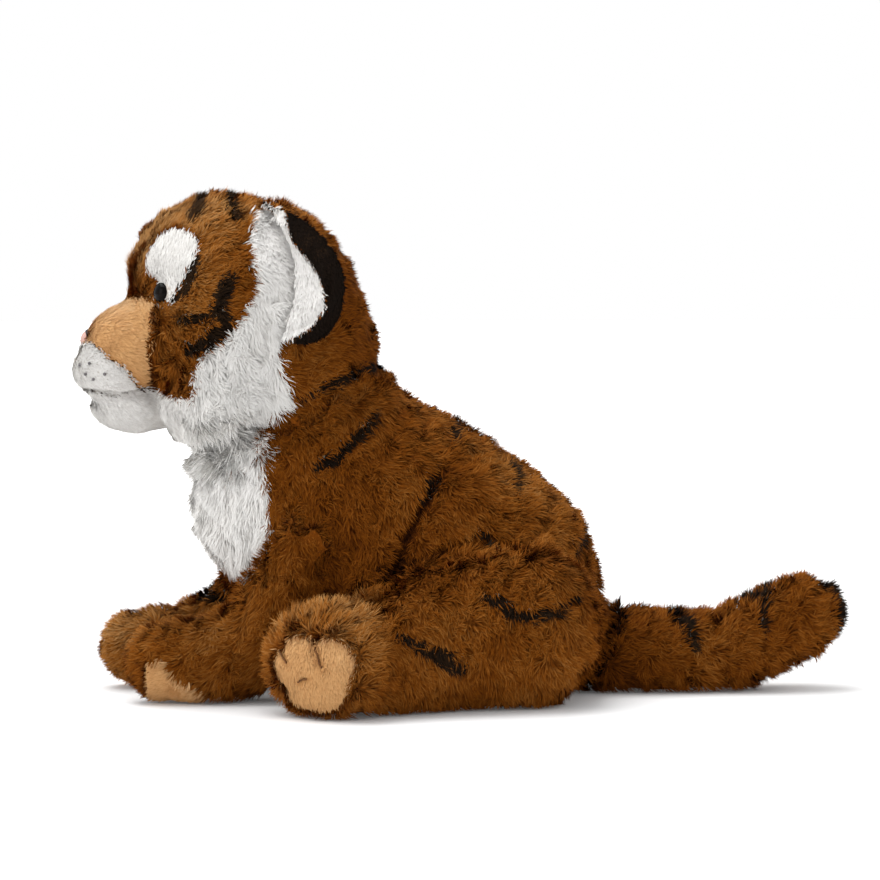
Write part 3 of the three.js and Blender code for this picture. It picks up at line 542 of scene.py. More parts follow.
def head_coat(points, normals, places):
    coat = Coat(points, normals)
    side = np.sign(points[:, 1:2])
    muzzle, brow = painted(places, [MUZZLE], 2), painted(places, [BROW], 2)
    ruff, lips, chin = painted(places, [RUFF]), painted(places, [LIPS], 2), painted(places, [CHIN], 2)
    front = smooth_step(-116 * MM, -138 * MM, points[:, 0])
    lips, chin = lips * front, chin * front
    before_ear = (on_left(points, points) - EAR_BASE) @ EAR_FRONT > -2 * MM
    ruff *= before_ear | (points[:, 2] < 158 * MM)
    coat.tan = muzzle
    coat.white = np.max([ruff, brow, lips, chin, painted(places, [LIPS, CHIN])], axis=0) * (muzzle < 0.55)
    coat.dark = brushed(places, HEAD_STRIPES + NAPE_STRIPES) * (muzzle < 0.4)
    coat.flow = unit(points - NOSE_TIP) + np.array((0.1, 0, -0.25))
    low = ruff * smooth_step(200 * MM, 165 * MM, points[:, 2])
    coat.flow = mixed(coat.flow, directed(0.45, 0, -1), low) + low[:, None] * side * np.array((0, 0.25, 0))
    coat.flow = mixed(coat.flow, directed(0.3, 0, 1), brow)
    coat.flow = mixed(coat.flow, directed(1, 0, -0.35), muzzle)
    coat.flow = mixed(coat.flow, directed(1, 0, -0.6), np.maximum(lips, chin))
    velvet = np.max([muzzle, lips, chin], axis=0)
    high = ruff * (1 - low)
    forehead = smooth_step(-95 * MM, -125 * MM, points[:, 0]) * smooth_step(168 * MM, 176 * MM, points[:, 2])
    coat.flow = mixed(coat.flow, directed(0.15, 0, -1), high)
    hanging = ruff * smooth_step(405, 435, places[:, 1]) * smooth_step(268, 240, places[:, 0])
    hanging *= smooth_step(0.25, 0.6, np.abs(normals[:, 1]))
    coat.pile = (5.2 + 1.6 * low - 1.2 * brow - 1.8 * high - 1.4 * forehead + 8 * hanging) * MM
    coat.lean += 8 * hanging
    coat.pile += velvet * ((3.2 * muzzle + 1.4 * lips + 2.4 * chin) * MM - coat.pile)
    coat.lean += 28 * muzzle + 20 * np.maximum(lips, chin) + 14 * low + 16 * high + 8 * brow + 10 * forehead
    coat.ruffle -= 0.45 * velvet + 0.35 * high + 0.2 * brow + 0.25 * forehead
    coat.cover += 1.2 * velvet + 1.0 * np.maximum(ruff, brow) + 0.3 * forehead
    # Painted light and shade: the head's upper side, the forehead and the forehead stroke are painted
    # lighter, and the eye's corner is painted darker. The nape is darker and the muzzle toned down.
    coat.shade += 0.16 * smooth_step(0.1, 0.8, normals[:, 2]) - 0.14 * smooth_step(-0.07, -0.05, points[:, 0])
    coat.shade += 0.16 * forehead - 0.12 * muzzle - 0.15 * painted(places, [EYE_CORNER_SHADE])
    coat.shade += 0.3 * brushed(places, [FOREHEAD_PAINTED_LIGHT], 9)
    # The brow, lips and chin are toned down and the ruff's lower part is darker. Its upper band is painted
    # lighter, as painted light where it faces away from the lamps.
    coat.shade -= 0.5 * brow + 0.4 * np.maximum(lips, chin) + 0.12 * low - 0.3 * high
    eye_away = np.linalg.norm(places - np.array(EYE_PLACE), axis=1)
    beside_eye = smooth_step(16, 8, eye_away)
    coat.pile *= 1 - 0.5 * beside_eye
    coat.cover *= eye_away > 10
    return coat


def ear_coat(points, normals, places):
    coat = Coat(points, normals)
    front = on_left(points, EAR_FRONT)
    base = on_left(points, EAR_BASE)
    coat.white = painted(places, [EAR_LINING], 2) * (np.sum(front * normals, axis=1) > -0.1)
    coat.dark = 1 - coat.white
    coat.flow = 0.4 * unit(points - base) + np.array((0.4, 0, -0.9))
    coat.pile = (2.0 + 0.8 * coat.white) * MM
    coat.lean += 26
    coat.ruffle[:] = 0.15
    # The lining is painted lighter, as painted light where it faces away from the lamps; the black back is
    # darker.
    coat.shade += 0.25 * coat.white - 0.15 * coat.dark
    return coat


def front_leg_coat(points, normals, places):
    coat = Coat(points, normals)
    outer = on_left(points, normals)[:, 1] < 0.1 - 0.5 * np.maximum(-normals[:, 0], 0)
    coat.tan = painted(places, [PAW_PAD], 2) * outer
    coat.dark = brushed(places, FRONT_LEG_STRIPES) * (points[:, 1] > 0)
    forward = smooth_step(55 * MM, 20 * MM, points[:, 2])
    coat.flow = mixed(directed(-0.1, 0, -1), directed(-1, 0, -0.45), forward)
    coat.pile -= 3.6 * coat.tan * MM
    coat.ruffle -= 0.3 * coat.tan
    coat.lean += 20 * coat.tan
    coat.cover += 0.9 * coat.tan
    # Painted light: the paw's upper side is lighter, and the far paw is lighter all over.
    coat.shade += 0.2 * forward * smooth_step(-0.2, 0.8, normals[:, 2]) + 0.2 * forward * (points[:, 1] > 0)
    coat.shade -= 0.2 * coat.tan
    return coat


def hind_leg_coat(points, normals, places):
    coat = Coat(points, normals)
    on_foot = smooth_step(-30 * MM, -50 * MM, points[:, 0])
    coat.tan = painted(places, [SOLE_PAD], 1) * (points[:, 0] < -40 * MM)
    coat.dark = brushed(places, HIND_LEG_STRIPES)
    sole = on_left(points, SOLE_CENTRE)
    rim = painted(places, [SOLE_PAD], 10) * (coat.tan < 0.5) * on_foot
    coat.flow = mixed(directed(0.25, 0, -1), unit(points - sole), on_foot)
    coat.flow = mixed(coat.flow, directed(0.1, 0, -1), coat.tan)
    coat.pile += (0.9 * on_foot * (1 - coat.tan) - 3.4 * coat.tan - 4.4 * rim) * MM
    coat.ruffle -= 0.35 * coat.tan
    coat.lean += 20 * coat.tan - 50 * rim
    coat.cover += 0.9 * coat.tan + 0.8 * rim
    # The foot is lighter, and its upper side is painted lighter still, as painted light from above.
    coat.shade += 0.1 * on_foot + 0.18 * on_foot * smooth_step(-0.2, 0.8, normals[:, 2]) - 0.3 * coat.tan
    return coat


def tail_coat(points, normals, places):
    coat = Coat(points, normals)
    coat.dark = brushed(places, TAIL_STRIPES)
    coat.flow = directed(1, 0, 0)
    coat.pile += 0.6 * MM
    coat.lean -= 6
    # Painted shade: darker at the bottom near the floor, and at the root under the haunch.
    coat.shade -= 0.1 * smooth_step(0.02, 0.005, points[:, 2]) + 0.1 * smooth_step(0.1, 0.06, points[:, 0])
    return coat


# Materials

def linear(hex_colour):
    channels = [int(hex_colour[i:i + 2], 16) / 255 for i in (1, 3, 5)]
    return [c / 12.92 if c <= 0.04045 else ((c + 0.055) / 1.055) ** 2.4 for c in channels] + [1]


def add(tree, kind, inputs=None, **settings):
    """Adds a node with its settings, and gives its inputs values, or links from nodes and sockets."""
    node = tree.nodes.new(kind)
    for key, value in settings.items():
        setattr(node, key, value)
    for key, value in (inputs or {}).items():
        if isinstance(value, bpy.types.Node):
            tree.links.new(value.outputs[0], node.inputs[key])
        elif isinstance(value, bpy.types.NodeSocket):
            tree.links.new(value, node.inputs[key])
        else:
            node.inputs[key].default_value = value
    return node


def set_ramp(node, stops):
    ramp = node.color_ramp
    while len(ramp.elements) < len(stops):
        ramp.elements.new(0.5)
    for element, (place, colour) in zip(ramp.elements, stops):
        element.position = place
        element.color = linear(colour)


def new_material(name, roughness, gloss=0.5):
    material = bpy.data.materials.new(name)
    material.use_nodes = True
    shader = material.node_tree.nodes["Principled BSDF"]
    shader.inputs["Roughness"].default_value = roughness
    shader.inputs["Specular IOR Level"].default_value = gloss
    return material, material.node_tree, shader


def patterned(name, kind, inputs, stops, roughness, gloss=0.5, bump=None, **settings):
    """A material whose colour comes from one pattern, laid out in the object's own coordinates."""
    material, tree, shader = new_material(name, roughness, gloss)
    place = add(tree, "ShaderNodeTexCoord").outputs["Object"]
    pattern = add(tree, kind, {"Vector": place, **inputs}, **settings)
    colour = add(tree, "ShaderNodeValToRGB", {0: pattern})
    set_ramp(colour, stops)
    tree.links.new(colour.outputs[0], shader.inputs["Base Color"])
    if bump:
        raised = add(tree, "ShaderNodeBump", {"Height": pattern, **bump})
        tree.links.new(raised.outputs[0], shader.inputs["Normal"])
    return material


# Where each dye lies on the palette, from its darkest strand to its lightest
BROWN = (0.00, 0.30)
DYES = {"tan": (0.34, 0.48), "white": (0.54, 0.72), "dark": (0.80, 0.98)}
PALETTE = [
    (0.00, "#2e1403"), (0.08, "#5e3008"), (0.15, "#85490e"), (0.22, "#a1662a"), (0.30, "#c09058"),
    (0.34, "#c08c58"), (0.41, "#d6a670"), (0.48, "#e6c295"), (0.54, "#d9d7d4"), (0.60, "#ecebe8"),
    (0.72, "#f8f7f5"), (0.80, "#0e0a07"), (0.89, "#1d150f"), (0.98, "#49341f"),
]
# Pale strands, tan and white, take only PALE_WEIGHT of the painted root shade below.
PALE_MIDDLE = 0.53
PALE_REACH = 0.2
PALE_WEIGHT = 0.3
# Painted shade along each strand: darker at the root, where strands shade one another, to full colour at the
# tip.
STRAND_ROOT_SHADE = [(0.0, "#857b73"), (0.5, "#cfc8c1"), (1.0, "#ffffff")]


def make_pile_dye():
    # Polyester pile, dyed through and combed: soft and without gloss. Each strand is painted darker towards
    # its root, as painted shade down between the strands; brown and black strands take all of it, tan and
    # white ones much less.
    material, tree, shader = new_material("combed_polyester_pile", 0.95, 0.06)
    uv = add(tree, "ShaderNodeUVMap", uv_map="OFBake")
    split = add(tree, "ShaderNodeSeparateXYZ", {0: uv})
    colour = add(tree, "ShaderNodeValToRGB", {0: split.outputs["X"]})
    set_ramp(colour, PALETTE)
    light = add(tree, "ShaderNodeValToRGB", {0: split.outputs["Y"]})
    set_ramp(light, STRAND_ROOT_SHADE)
    pale = add(tree, "ShaderNodeMath", {0: split.outputs["X"], 1: PALE_MIDDLE, 2: PALE_REACH},
               operation="COMPARE")
    weight = add(tree, "ShaderNodeMapRange", {0: pale, 3: 1.0, 4: PALE_WEIGHT})
    both = add(tree, "ShaderNodeMix", {0: weight, 6: colour, 7: light}, data_type="RGBA",
               blend_type="MULTIPLY")
    tree.links.new(both.outputs[2], shader.inputs["Base Color"])
    return material


def make_backing_cloth():
    # Knitted polyester backing of the fur cloth: dull, with a fine bumped knit whose loops are pale with
    # painted shade between them, dyed like the pile on it, painted light and shade included.
    material = patterned("knitted_backing_cloth", "ShaderNodeTexNoise", {"Scale": 900.0, "Detail": 2.0},
                         [(0.3, "#b4aba3"), (0.7, "#e2dcd6")], 0.95, 0.06,
                         {"Distance": 0.0004, "Strength": 0.6})
    tree = material.node_tree
    base = tree.nodes["Principled BSDF"].inputs["Base Color"]
    knit = base.links[0].from_socket
    tone = add(tree, "ShaderNodeAttribute", attribute_name="backing")
    colour = add(tree, "ShaderNodeValToRGB", {0: tone.outputs["Fac"]})
    set_ramp(colour, PALETTE)
    both = add(tree, "ShaderNodeMix", {0: 1.0, 6: colour, 7: knit}, data_type="RGBA", blend_type="MULTIPLY")
    tree.links.new(both.outputs[2], base)
    return material


def make_thread(name, dark, pale, twist=900.0):
    # Embroidery and sewing thread: a soft sheen broken by the twist of its plies.
    return patterned(name, "ShaderNodeTexWave", {"Scale": twist, "Distortion": 1.5},
                     [(0.2, dark), (0.8, pale)], 0.6, 0.25, {"Distance": 0.0003, "Strength": 0.7},
                     bands_direction="Y")


# Pile: strands set on a skin by Geometry Nodes

STRAND_BEND = 0.35
STRAND_KNEE = 0.45
SOFT_NORMAL = 2.5
LENGTH_SPREAD = 0.5
THICKNESS_SPREAD = 0.6
SHADE_SPREAD = 0.3
SWATCH_WIDTH = 0.004
FLOOR_GAP = 0.2 * MM
COAT_RECORDS = ("white", "tan", "dark", "shade", "pile", "cover")
PILE_INPUTS = {
    "Skin": "Geometry", "Strand": "Object", "Strands per m2": "Float", "Thickness": "Float",
    "Straying": "Float", "Fraying": "Float", "Seed": "Int", "Dye": "Material",
}


def make_strand():
    """One strand of unit length: a flat fibre, pointed at both ends, that rises and bends over."""
    knee = -STRAND_BEND * STRAND_KNEE**2
    corners = [(0, 0, 0), (knee, -0.5, STRAND_KNEE), (knee, 0.5, STRAND_KNEE), (-STRAND_BEND, 0, 1)]
    mesh = bpy.data.meshes.new("strand")
    mesh.from_pydata(corners, [], [(0, 2, 1), (1, 2, 3)])
    store(mesh, "along", np.array([corner[2] for corner in corners], dtype=float))
    store(mesh, "side", np.array([corner[1] + 0.5 for corner in corners]))
    shade_smooth(mesh)
    return linked("strand", mesh)


def make_pile_tree():
    """Sets strands on a skin. Each leans as the skin says and takes one dye, frayed at a colour's edge."""
    tree = bpy.data.node_groups.new("pile", "GeometryNodeTree")
    for name, kind in PILE_INPUTS.items():
        tree.interface.new_socket(name, in_out="INPUT", socket_type=f"NodeSocket{kind}")
    tree.interface.new_socket("Pile", in_out="OUTPUT", socket_type="NodeSocketGeometry")
    given = add(tree, "NodeGroupInput").outputs
    record = {}
    for name in COAT_RECORDS + ("way", "skin_normal", "tone", "along", "side"):
        kind = "FLOAT_VECTOR" if name in ("way", "skin_normal") else "FLOAT"
        record[name] = add(tree, "GeometryNodeInputNamedAttribute", {"Name": name}, data_type=kind)
    chance = {}
    for number, name in enumerate(["length", "thickness", "shade", "tan", "white", "dark"]):
        chance[name] = add(tree, "FunctionNodeRandomValue", {2: -0.5, 3: 0.5, "Seed": number + 1},
                           data_type="FLOAT").outputs[1]

    density = add(tree, "ShaderNodeMath", {0: given["Strands per m2"], 1: record["cover"]},
                  operation="MULTIPLY")
    spread = add(tree, "GeometryNodeDistributePointsOnFaces",
                 {"Mesh": given["Skin"], "Density": density, "Seed": given["Seed"]})
    stray = add(tree, "FunctionNodeRandomValue", {0: (-1, -1, -1), 1: (1, 1, 1), "Seed": 11},
                data_type="FLOAT_VECTOR")
    stray = add(tree, "ShaderNodeVectorMath", {0: stray, "Scale": given["Straying"]}, operation="SCALE")
    way = add(tree, "ShaderNodeVectorMath", {0: record["way"], 1: stray}, operation="ADD")
    turn = add(tree, "FunctionNodeAxesToRotation", {0: way, 1: spread.outputs["Normal"]},
               primary_axis="Z", secondary_axis="X")
    longer = add(tree, "ShaderNodeMath", {0: chance["length"], 1: LENGTH_SPREAD, 2: 1.0},
                 operation="MULTIPLY_ADD")
    length = add(tree, "ShaderNodeMath", {0: longer, 1: record["pile"]}, operation="MULTIPLY")
    thicker = add(tree, "ShaderNodeMath", {0: chance["thickness"], 1: THICKNESS_SPREAD, 2: 1.0},
                  operation="MULTIPLY_ADD")
    width = add(tree, "ShaderNodeMath", {0: thicker, 1: given["Thickness"]}, operation="MULTIPLY")
    size = add(tree, "ShaderNodeCombineXYZ", {0: length, 1: width, 2: length})

    light = add(tree, "ShaderNodeMath", {0: chance["shade"], 1: SHADE_SPREAD, 2: record["shade"]},
                operation="MULTIPLY_ADD", use_clamp=True)
    tone = add(tree, "ShaderNodeMath", {0: light, 1: BROWN[1] - BROWN[0], 2: BROWN[0]},
               operation="MULTIPLY_ADD")
    for name, (low, high) in DYES.items():
        frayed = add(tree, "ShaderNodeMath", {0: chance[name], 1: given["Fraying"], 2: record[name]},
                     operation="MULTIPLY_ADD")
        inside = add(tree, "ShaderNodeMath", {0: frayed, 1: 0.5}, operation="GREATER_THAN")
        own = add(tree, "ShaderNodeMath", {0: light, 1: high - low, 2: low}, operation="MULTIPLY_ADD")
        tone = add(tree, "ShaderNodeMix", {0: inside, 2: tone, 3: own}, data_type="FLOAT")

    points = add(tree, "GeometryNodeStoreNamedAttribute", {0: spread, "Name": "tone", "Value": tone},
                 data_type="FLOAT")
    points = add(tree, "GeometryNodeStoreNamedAttribute",
                 {0: points, "Name": "skin_normal", "Value": spread.outputs["Normal"]},
                 data_type="FLOAT_VECTOR")
    strand = add(tree, "GeometryNodeObjectInfo", {"Object": given["Strand"]}).outputs["Geometry"]
    strands = add(tree, "GeometryNodeInstanceOnPoints",
                  {"Points": points, "Instance": strand, "Rotation": turn, "Scale": size})
    real = add(tree, "GeometryNodeRealizeInstances", {0: strands})
    own = add(tree, "GeometryNodeInputNormal")
    under = add(tree, "ShaderNodeVectorMath", {0: record["skin_normal"], "Scale": SOFT_NORMAL},
                operation="SCALE")
    soft = add(tree, "ShaderNodeVectorMath", {0: under, 1: own}, operation="ADD")
    soft = add(tree, "ShaderNodeVectorMath", {0: soft}, operation="NORMALIZE")
    real = add(tree, "GeometryNodeSetMeshNormal", {0: real, "Custom Normal": soft}, mode="FREE",
               domain="POINT")
    across = add(tree, "ShaderNodeMath", {0: record["side"], 1: SWATCH_WIDTH, 2: record["tone"]},
                 operation="MULTIPLY_ADD")
    swatch = add(tree, "ShaderNodeCombineXYZ", {0: across, 1: record["along"]})
    real = add(tree, "GeometryNodeStoreNamedAttribute", {0: real, "Name": "OFBake", "Value": swatch},
               data_type="FLOAT2", domain="CORNER")
    real = add(tree, "GeometryNodeSetMaterial", {0: real, "Material": given["Dye"]})
    add(tree, "NodeGroupOutput", {0: real})
    return tree


def grow_pile(name, skin, cover, **numbers):
    """The pile on the part of a skin that is covered, as one plain mesh."""
    base = linked(name, skin.data.copy())
    base.data.attributes["cover"].data.foreach_set("value", cover.astype(np.float32))
    modifier = base.modifiers.new("pile", "NODES")
    modifier.node_group = pile_tree
    settings = {**pile_settings, **numbers}
    for item in pile_tree.interface.items_tree:
        if item.in_out == "INPUT" and item.name in settings:
            modifier[item.identifier] = settings[item.name]
    pile = plain_mesh(base)
    for extra in ("tone", "skin_normal", "along", "side", "id"):
        if extra in pile.data.attributes:
            pile.data.attributes.remove(pile.data.attributes[extra])
    points = corners_of(pile.data)
    points[:, 2] = np.maximum(points[:, 2], FLOOR_GAP)
    set_corners(pile.data, points)
    return pile


# Where one pile piece ends and the next begins
WAIST = -15 * MM
PARTS = {
    "left": lambda points, coat: points[:, 1] <= 0,
    "right": lambda points, coat: points[:, 1] > 0,
    "white": lambda points, coat: coat.white > 0.5,
    "coloured": lambda points, coat: coat.white <= 0.5,
    "fore": lambda points, coat: points[:, 0] <= WAIST,
    "rear": lambda points, coat: points[:, 0] > WAIST,
}
LUMPS, LUMP_SIZE = 1.0 * MM, 45 * MM
DIMPLES, DIMPLE_SIZE = 0.35 * MM, 18 * MM
HIDDEN_DEPTH = 6 * MM
UNFOLDED = 0.2
FOLD_TUCK = 1.5 * MM


def buried(points, near, surfaces):
    """Where a point lies so deep inside a neighbour that none of its pile is seen."""
    inside = np.zeros(len(points), dtype=bool)
    for surface in surfaces:
        for i in np.flatnonzero(near > JOINED):
            place, normal, _, distance = surface.find_nearest(points[i])
            inside[i] |= distance > HIDDEN_DEPTH and (Vector(points[i]) - place).dot(normal) < 0
    return inside


def shape_skin(body, how, skin, surfaces, whole):
    """Draws a skin to its neighbours, presses its creases and returns how creased and how hidden it is."""
    points, normals = corners_of(skin.data), normals_of(skin.data)
    others = [surfaces[other] for other in how["joined"]]
    near = nearness(points, others, JOIN_CLOSE, JOIN_FAR)
    drawn = drawn_together(points, normals, near, whole)
    set_corners(skin.data, drawn)
    folded = np.sum(normals_of(skin.data) * normals, axis=1) < UNFOLDED
    drawn[folded] = points[folded] - FOLD_TUCK * normals[folded]
    set_corners(skin.data, drawn)
    points, normals = corners_of(skin.data), normals_of(skin.data)
    sunk = np.array([whole.find_nearest(point)[3] for point in points])
    hidden = buried(points, near, others) & (sunk > HIDDEN_DEPTH)
    places = photo_place(as_photographed(body, points))
    facing = smooth_step(0, 0.4, -(on_left(points, normals) @ np.array(VIEW_FORWARD)))
    creased = np.zeros(len(points))
    deep = np.zeros(len(points))
    for stroke, depth in how["creases"]:
        press = brushed(places, [stroke], 3) * facing
        if depth > 0:
            creased = np.maximum(creased, press)
            deep = np.maximum(deep, press * depth * MM)
        else:
            deep += press * depth * MM
    edge = 1 - (normals @ np.array(VIEW_FORWARD)) ** 2
    for place, reach, height in how["bulges"]:
        away = np.linalg.norm(places - np.array(place), axis=1)
        deep -= height * MM * edge * np.exp(-((away / reach) ** 2))
    lumps = LUMPS * wave_noise(points, LUMP_SIZE, 21) + DIMPLES * wave_noise(points, DIMPLE_SIZE, 22)
    set_corners(skin.data, points + normals * (lumps * (1 - near) * how["lumpy"] - deep)[:, None])
    return creased, hidden & (np.abs(deep) < 0.5 * MM)


def as_photographed(body, points):
    """A body's points where the photographed left side has them. The right paw lies further forward."""
    shifted = on_left(points, points)
    if body == "front_leg_right":
        reach = np.clip((-60 * MM - points[:, 0]) / (90 * MM), 0, 1)
        shifted[:, 0] += RIGHT_PAW_FORWARD * reach
    return shifted


def dress(body, how, skin, creased, hidden, seed):
    """Colours a skin, grows its pile in patches, and fastens all of it to its body."""
    points, normals = corners_of(skin.data), normals_of(skin.data)
    coat = how["coat"](points, normals, photo_place(as_photographed(body, points)))
    ruffles = wave_vectors(points, 13 * MM, 31) + 0.6 * wave_vectors(points, 6 * MM, 41)
    way = unit(leaning(normals, coat.flow, coat.lean) + coat.ruffle[:, None] * ruffles)
    way = unit(way + normals * np.maximum(0.25 - np.sum(way * normals, axis=1, keepdims=True), 0))
    middle = points + 0.5 * coat.pile[:, None] * way
    dyed = how["coat"](points, normals, photo_place(as_photographed(body, middle)))
    coat.white, coat.tan, coat.dark = dyed.white, dyed.tan, dyed.dark
    # Painted shade in the creases: their strands are painted darker.
    coat.shade -= 0.5 * creased
    coat.pile *= 1 - 0.4 * creased
    flat_below = (points[:, 2] < 4 * MM) & (normals[:, 2] < -0.75)
    coat.cover[hidden | flat_below] = 0
    points -= normals * (PILE_DEPTH * coat.pile)[:, None]
    resting = smooth_step(16 * MM, 5 * MM, points[:, 2]) * smooth_step(0.3, -0.5, normals[:, 2])
    points[:, 2] = np.maximum(points[:, 2] - SAG * resting, FLOOR_GAP)
    set_corners(skin.data, points)
    tone = np.interp(np.clip(coat.shade, 0, 1), [0, 1], BROWN)
    for name, ends in DYES.items():
        tone = np.where(getattr(coat, name) > 0.5, sum(ends) / 2, tone)
    for name in COAT_RECORDS:
        store(skin.data, name, getattr(coat, name))
    store(skin.data, "way", way)
    for number, (name, parts) in enumerate(how["patches"].items()):
        mask = np.all([PARTS[part](points, coat) for part in parts], axis=0)
        numbers = {"Strands per m2": how["density"] / MM**2, "Seed": seed + number}
        pile = grow_pile(name, skin, coat.cover * mask, **numbers)
        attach(pile, body)
    for name in COAT_RECORDS + ("way",):
        skin.data.attributes.remove(skin.data.attributes[name])
    store(skin.data, "backing", tone)
    skin.data.materials.clear()
    skin.data.materials.append(backing)
    shade_smooth(skin.data)
    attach(skin, body)
    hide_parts(*how["nodes"])


# Bodies: what each skin is made from, and the coat that it wears

SIDES = {"left": 1, "right": -1}


def plan(**own):
    """How a body's skin is made and dressed. Voxels are in millimetres, strands per square millimetre."""
    usual = dict(slot="brown_plush", density=3.2, voxel=3.5, rounds=5, lumpy=1.0, joined=["torso"],
                 creases=[], bulges=[])
    return {**usual, **own}


bodies = {
    "torso": plan(
        nodes=TORSO_NODES, voxel=4.0, rounds=7, coat=torso_coat, bulges=TORSO_BULGES,
        creases=NECK_CREASES + THIGH_CREASES + GAP_CREASES,
        joined=["head", "front_leg_left", "front_leg_right", "hind_leg_left", "hind_leg_right", "tail"],
        patches={"shoulder_pile_left": ["left", "coloured", "fore"],
                 "shoulder_pile_right": ["right", "coloured", "fore"],
                 "back_pile_left": ["left", "coloured", "rear"],
                 "back_pile_right": ["right", "coloured", "rear"],
                 "bib_pile": ["white"]}),
    "head": plan(
        nodes=HEAD_NODES, voxel=3.0, rounds=7, coat=head_coat, lumpy=0.5, creases=HEAD_CREASES,
        bulges=HEAD_BULGES,
        patches={"face_pile_left": ["left", "coloured"], "face_pile_right": ["right", "coloured"],
                 "ruff_pile_left": ["left", "white"], "ruff_pile_right": ["right", "white"]}),
    "tail": plan(
        nodes=["tail_cover", "tail_stuffing"], coat=tail_coat, bulges=TAIL_BULGES,
        patches={"tail_pile": []}),
}
ears = {}
for side in SIDES:
    bodies[f"front_leg_{side}"] = plan(
        nodes=[f"front_leg_cover_{side}", f"front_paw_pad_{side}", f"front_leg_stuffing_{side}"],
        rounds=4, coat=front_leg_coat, creases=PAW_CREASES + GAP_CREASES,
        bulges=FAR_LEG_BULGES if side == "right" else [], patches={f"front_leg_pile_{side}": []})
    bodies[f"hind_leg_{side}"] = plan(
        nodes=[f"hind_leg_cover_{side}", f"sole_pad_{side}", f"hind_leg_stuffing_{side}"],
        coat=hind_leg_coat, creases=THIGH_CREASES + SHIN_CREASES + SOLE_CREASES, bulges=LEG_BULGES,
        patches={f"foot_pile_{side}": ["fore"], f"thigh_pile_{side}": ["rear"]})
    ears[f"ear_{side}"] = plan(
        nodes=[f"ear_back_{side}", f"ear_lining_{side}"], voxel=1.5, rounds=10, coat=ear_coat,
        slot="black_plush", density=6.0, lumpy=0.2, joined=[], bulges=EAR_BULGES,
        patches={f"ear_pile_{side}": []})


# Details on the face and feet

def round_solid(name, radii, rings=24):
    """A ball about the origin, drawn out to three radii."""
    shape = bmesh.new()
    bmesh.ops.create_uvsphere(shape, u_segments=2 * rings, v_segments=rings, radius=1)
    for corner in shape.verts:
        corner.co = Vector(corner.co[i] * radii[i] for i in range(3))
        corner.normal_update()
    mesh = mesh_from(shape, name)
    shade_smooth(mesh)
    return mesh


def finish_piece(obj, body, material, nodes=()):
    obj.data.materials.clear()
    obj.data.materials.append(material)
    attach(obj, body)
    if nodes:
        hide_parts(*nodes)


EYE_RADIUS = 4.7 * MM
EYE_BULGE = 3.0 * MM
EYE_SEAT = 0.4 * MM
EYE_WAY = directed(-0.86, -0.5, 0.1)


def make_eyes(face, material):
    """Two domed eyes, set in the face with their backs inside it."""
    place = seen_at(face, EYE_PLACE)[0]
    for side, mirror in SIDES.items():
        mesh = round_solid(f"eye_dome_{side}", (EYE_RADIUS, EYE_RADIUS, EYE_BULGE))
        way = Vector((EYE_WAY[0], EYE_WAY[1] * mirror, EYE_WAY[2]))
        turn = way.to_track_quat("Z", "Y").to_matrix()
        centre = Vector((place.x, place.y * mirror, place.z)) - way * EYE_SEAT
        points = corners_of(mesh) @ np.array(turn).T + np.array(centre)
        set_corners(mesh, points)
        finish_piece(linked(f"eye_dome_{side}", mesh), "head", material, [f"eye_{side}"])


NOSE_RADII = (2.6 * MM, 8.0 * MM, 4.6 * MM)
NOSE_TAPER = 0.3
NOSE_SEAT = 0.3 * MM
NOSE_DROP = 1.5 * MM
MUZZLE_RADIUS = 28 * MM


def muzzle_front(face, y, z):
    """How far forward the muzzle reaches at a place across and up."""
    return face.ray_cast(Vector((NOSE_TIP[0] - 50 * MM, y, z)), Vector((1, 0, 0)))[0].x


def make_nose(face, material):
    """A padded satin-stitched nose, wider above than below, half sunk in the muzzle's end."""
    mesh = round_solid("stitched_nose", NOSE_RADII)
    points = corners_of(mesh)
    points[:, 1] *= 1 + NOSE_TAPER * points[:, 2] / NOSE_RADII[2]
    front = muzzle_front(face, 0, NOSE_TIP[2])
    bend = (points[:, 1] ** 2) / (2 * MUZZLE_RADIUS)
    points += np.array((front + NOSE_SEAT, 0, NOSE_TIP[2] - NOSE_DROP))
    points[:, 0] += bend
    set_corners(mesh, points)
    finish_piece(linked("stitched_nose", mesh), "head", material, ["nose"])


def tube(name, lines, radius):
    """Round thread of one radius along each of several lines of points."""
    curve = bpy.data.curves.new(name, "CURVE")
    curve.dimensions = "3D"
    curve.bevel_depth = radius
    curve.bevel_resolution = 2
    curve.use_fill_caps = True
    for line in lines:
        spline = curve.splines.new("POLY")
        spline.points.add(len(line) - 1)
        spline.points.foreach_set("co", np.hstack([np.array(line), np.ones((len(line), 1))]).ravel())
    drawn = linked(name, curve)
    mesh = mesh_shown(drawn)
    bpy.data.objects.remove(drawn)
    shade_smooth(mesh)
    return linked(name, mesh)


def thread_line(surface, pixels, mirror, lift, steps=8):
    """A line of points on a skin that follows pixels of the photograph, on the left side or mirrored."""
    line = []
    for a, b in zip(pixels[:-1], pixels[1:]):
        for k in range(steps):
            t = k / steps
            pixel = (a[0] + (b[0] - a[0]) * t, a[1] + (b[1] - a[1]) * t)
            place, normal = seen_at(surface["left"], pixel)
            if mirror < 0:
                place, normal, _, _ = surface["right"].find_nearest(Vector((place.x, -place.y, place.z)))
            line.append(tuple(place + normal * lift))
    return line


TOE_STITCHES = [[(316, 638), (316, 650), (319, 662), (322, 669)], [(280, 652), (284, 659), (288, 664)],
                [(299, 682), (303, 679), (308, 679)]]
THREAD_RADIUS = 0.4 * MM
THREAD_LIFT = 0.7 * MM


